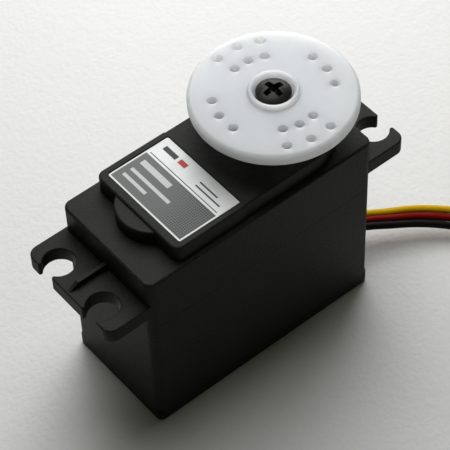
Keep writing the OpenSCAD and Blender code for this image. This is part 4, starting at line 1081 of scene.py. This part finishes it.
@finish("winding")
def winding(place):
    """Enamelled copper wire, its turns side by side along each of the three arms, with painted shade between turns.
    """
    x, y, _ = place.parts()
    x = x - MOTOR_X
    reach = x.most(x * -0.5 + y * 0.866).most(x * -0.5 - y * 0.866)
    across = abs(reach % TURN - TURN / 2) / (TURN / 2)
    height = (1 - across * across).most(0).root()
    patch = cloud(place, 0.8)
    # Colour follows each turn's height: painted shade in the grooves between turns, painted highlight on their
    # crowns.
    colour = (height * 0.7 + patch * 0.3).mix((0.14, 0.035, 0.012), (0.52, 0.20, 0.07))
    return surface(colour, patch * 0.12 + 0.24, height, 0.12, height * 0.3 + 0.6)


# %% Commutator
@finish("commutator")
def commutator(place):
    """Bare copper with three slits and the dull track of the brushes."""
    x, y, z = place.parts()
    slit = within(y.angle_over(x - MOTOR_X) / (2 * pi / 3) % 1, 0.46, 0.54, 0.01)
    track = within(z, 8.0, 9.3, 0.2)
    worn = cloud(place.stretched((1, 1, 20)), 0.3)
    copper = (track * 0.5 + worn * 0.5).mix((0.62, 0.27, 0.12), (0.25, 0.11, 0.06))
    gloss = track * 0.15 + worn * 0.1 + 0.2
    return surface(slit.mix(copper, (0.05, 0.035, 0.02)), gloss, 1 - slit, 0.1, 1 - slit * 0.9)


# %% [markdown]
# ## Circuit board
# The board is glass fibre under a green mask, with copper tracks that show as paler lines. A sheet of tracks
# could be drawn as an image, but sums on the place give crisp lines at any size: runs of parallel tracks, and
# tinned dots where they change sides. The chips get rows of legs, because a block alone doesn't look like one.

# %% Board
TRACK_PITCH = 0.9
BOARD_TOP = 3.7


@finish("board")
def board(place):
    """Green mask over parallel tracks, with tinned dots on a grid where the noise allows them."""
    x, y, z = place.parts()
    edge = within(z, 2.92, BOARD_TOP - 0.02, 0.01)
    zone = cloud(place, 5, 0)
    upper = past(zone, 0.5, 0.004)
    lengthwise = within(y % TRACK_PITCH, 0.3, 0.6)
    crosswise = within(x % TRACK_PITCH, 0.3, 0.6)
    track = (lengthwise * upper + crosswise * (1 - upper)) * (1 - edge)
    dot_x, dot_y = (value % (2 * TRACK_PITCH) - TRACK_PITCH for value in (x, y))
    dot = past(0.16 - dot_x * dot_x, dot_y * dot_y, 0.03) * within(zone, 0.44, 0.56, 0.01) * (1 - edge)
    weave = cloud(place, 0.3)
    mask = (track * 0.6 + weave * 0.2).mix((0.006, 0.050, 0.022), (0.03, 0.17, 0.07))
    mask = edge.mix(mask, weave.mix((0.12, 0.14, 0.06), (0.20, 0.22, 0.11)))
    height = track.most(dot) + weave * 0.1
    return surface(dot.mix(mask, (0.62, 0.60, 0.55)), weave * 0.15 + 0.26, height, 0.03, dot)


# %% Capacitor
@finish("capacitor_sleeve")
def capacitor_sleeve(place):
    """Blue sleeve with a pale stripe, and a bare metal top with a scored cross."""
    low, high = (Vector(corner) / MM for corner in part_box("capacitor"))
    x, y, z = place.parts()
    x, y = x - (low.x + high.x) / 2, y - (low.y + high.y) / 2
    stripe = within(y.angle_over(x), -0.5, 0.5)
    metal = past(z, high.z - 0.05, 0.02) * past(2.1, (x * x + y * y).root(), 0.04)
    score = within(x, -0.08, 0.08).most(within(y, -0.08, 0.08)) * metal
    groove = within(z, low.z + 1.2, low.z + 1.7, 0.2)
    drift = cloud(place, 0.8)
    sleeve = stripe.mix(drift.mix((0.010, 0.016, 0.06), (0.018, 0.028, 0.10)), (0.50, 0.52, 0.56))
    colour = metal.mix(sleeve, drift.mix((0.55, 0.55, 0.55), (0.68, 0.68, 0.68)))
    return surface(colour, drift * 0.1 + 0.24, (1 - score) * (1 - groove) + drift * 0.05, 0.15, metal)


# %% Resistors and chips
@finish("resistor")
def resistor(place):
    """Lacquered body with two bands and tinned ends."""
    low, high = (Vector(corner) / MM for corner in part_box("setting_resistors"))
    x = place.parts()[0]
    ends = 1 - within(x, low.x + 0.5, high.x - 0.5, 0.03)
    bands = within(x, low.x + 0.8, low.x + 1.05).most(within(x, low.x + 1.4, low.x + 1.65))
    drift = cloud(place, 0.4)
    body = bands.mix(drift.mix((0.33, 0.25, 0.14), (0.42, 0.32, 0.19)), (0.10, 0.03, 0.015))
    return surface(ends.mix(body, BARE_TIN), drift * 0.12 + 0.3, drift, 0.02, ends)


chip = moulded_plastic("chip", (0.010, 0.010, 0.011), (0.018, 0.018, 0.019), 0.55, grain=0.12, specular=0.25)

# %% Finishes on the packed pieces that stay
STAYING = [
    (gear_plastic, "output_gear third_gear second_gear first_gear"),
    (steel, "bearing_outer_ring bearing_inner_ring bearing_balls gear_pin motor_can motor_shaft"),
    (bronze, "output_bush bearing_cage motor_pinion"),
    (cap_plastic, "motor_end_cap"), (magnet, "motor_magnets"), (brush, "motor_brushes"),
    (core_steel, "armature_core"), (winding, "armature_windings"), (commutator, "commutator"),
    (tin, "motor_terminals connector_contacts"), (board, "circuit_board"),
    (chip, "control_chip bridge_chips"), (capacitor_sleeve, "capacitor"), (resistor, "setting_resistors"),
]
for material, nodes in STAYING:
    for node in nodes.split():
        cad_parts[node].material_slots[0].material = material
print("packed pieces that stay:", sum(len(nodes.split()) for _, nodes in STAYING))

# %% Legs of the chips
CHIPS = [("control_legs", (1.95, -4.6), 6.0, 4.4, 8), ("bridge_legs", (7.45, 3.6), 5.0, 7.0, 6)]
LEG_HALF = 0.15
LEG_REACH = 0.62
LEG = [Vector(corner) for corner in (
    (-0.18, 0.74), (0.12, 0.66), (0.26, 0), (LEG_REACH, 0), (LEG_REACH, 0.1), (0.34, 0.14), (0.22, 0.78), (0.1, 0.9),
    (-0.18, 0.9),
)]
leg_rows = copies_tree("leg_rows", tin)
for name, middle, length, width, count in CHIPS:
    bm = bmesh.new()
    for turn in (0, pi):
        leg = soft_form("leg", LEG, -LEG_HALF, LEG_HALF)
        leg.data.transform(spin(turn) @ shift(0, width / 2) @ LENGTHWAYS)
        bm.from_mesh(leg.data)
        bpy.data.objects.remove(leg)
    legs = new_piece(name, bm)
    use_tree(legs, leg_rows, {"Spacing X": length - 0.9}, {"Columns": count, "Rows": 1})
    settled(legs)
    legs.data.transform(shift(*middle, BOARD_TOP))
    placed(evened(legs), "case", tin, "tin")
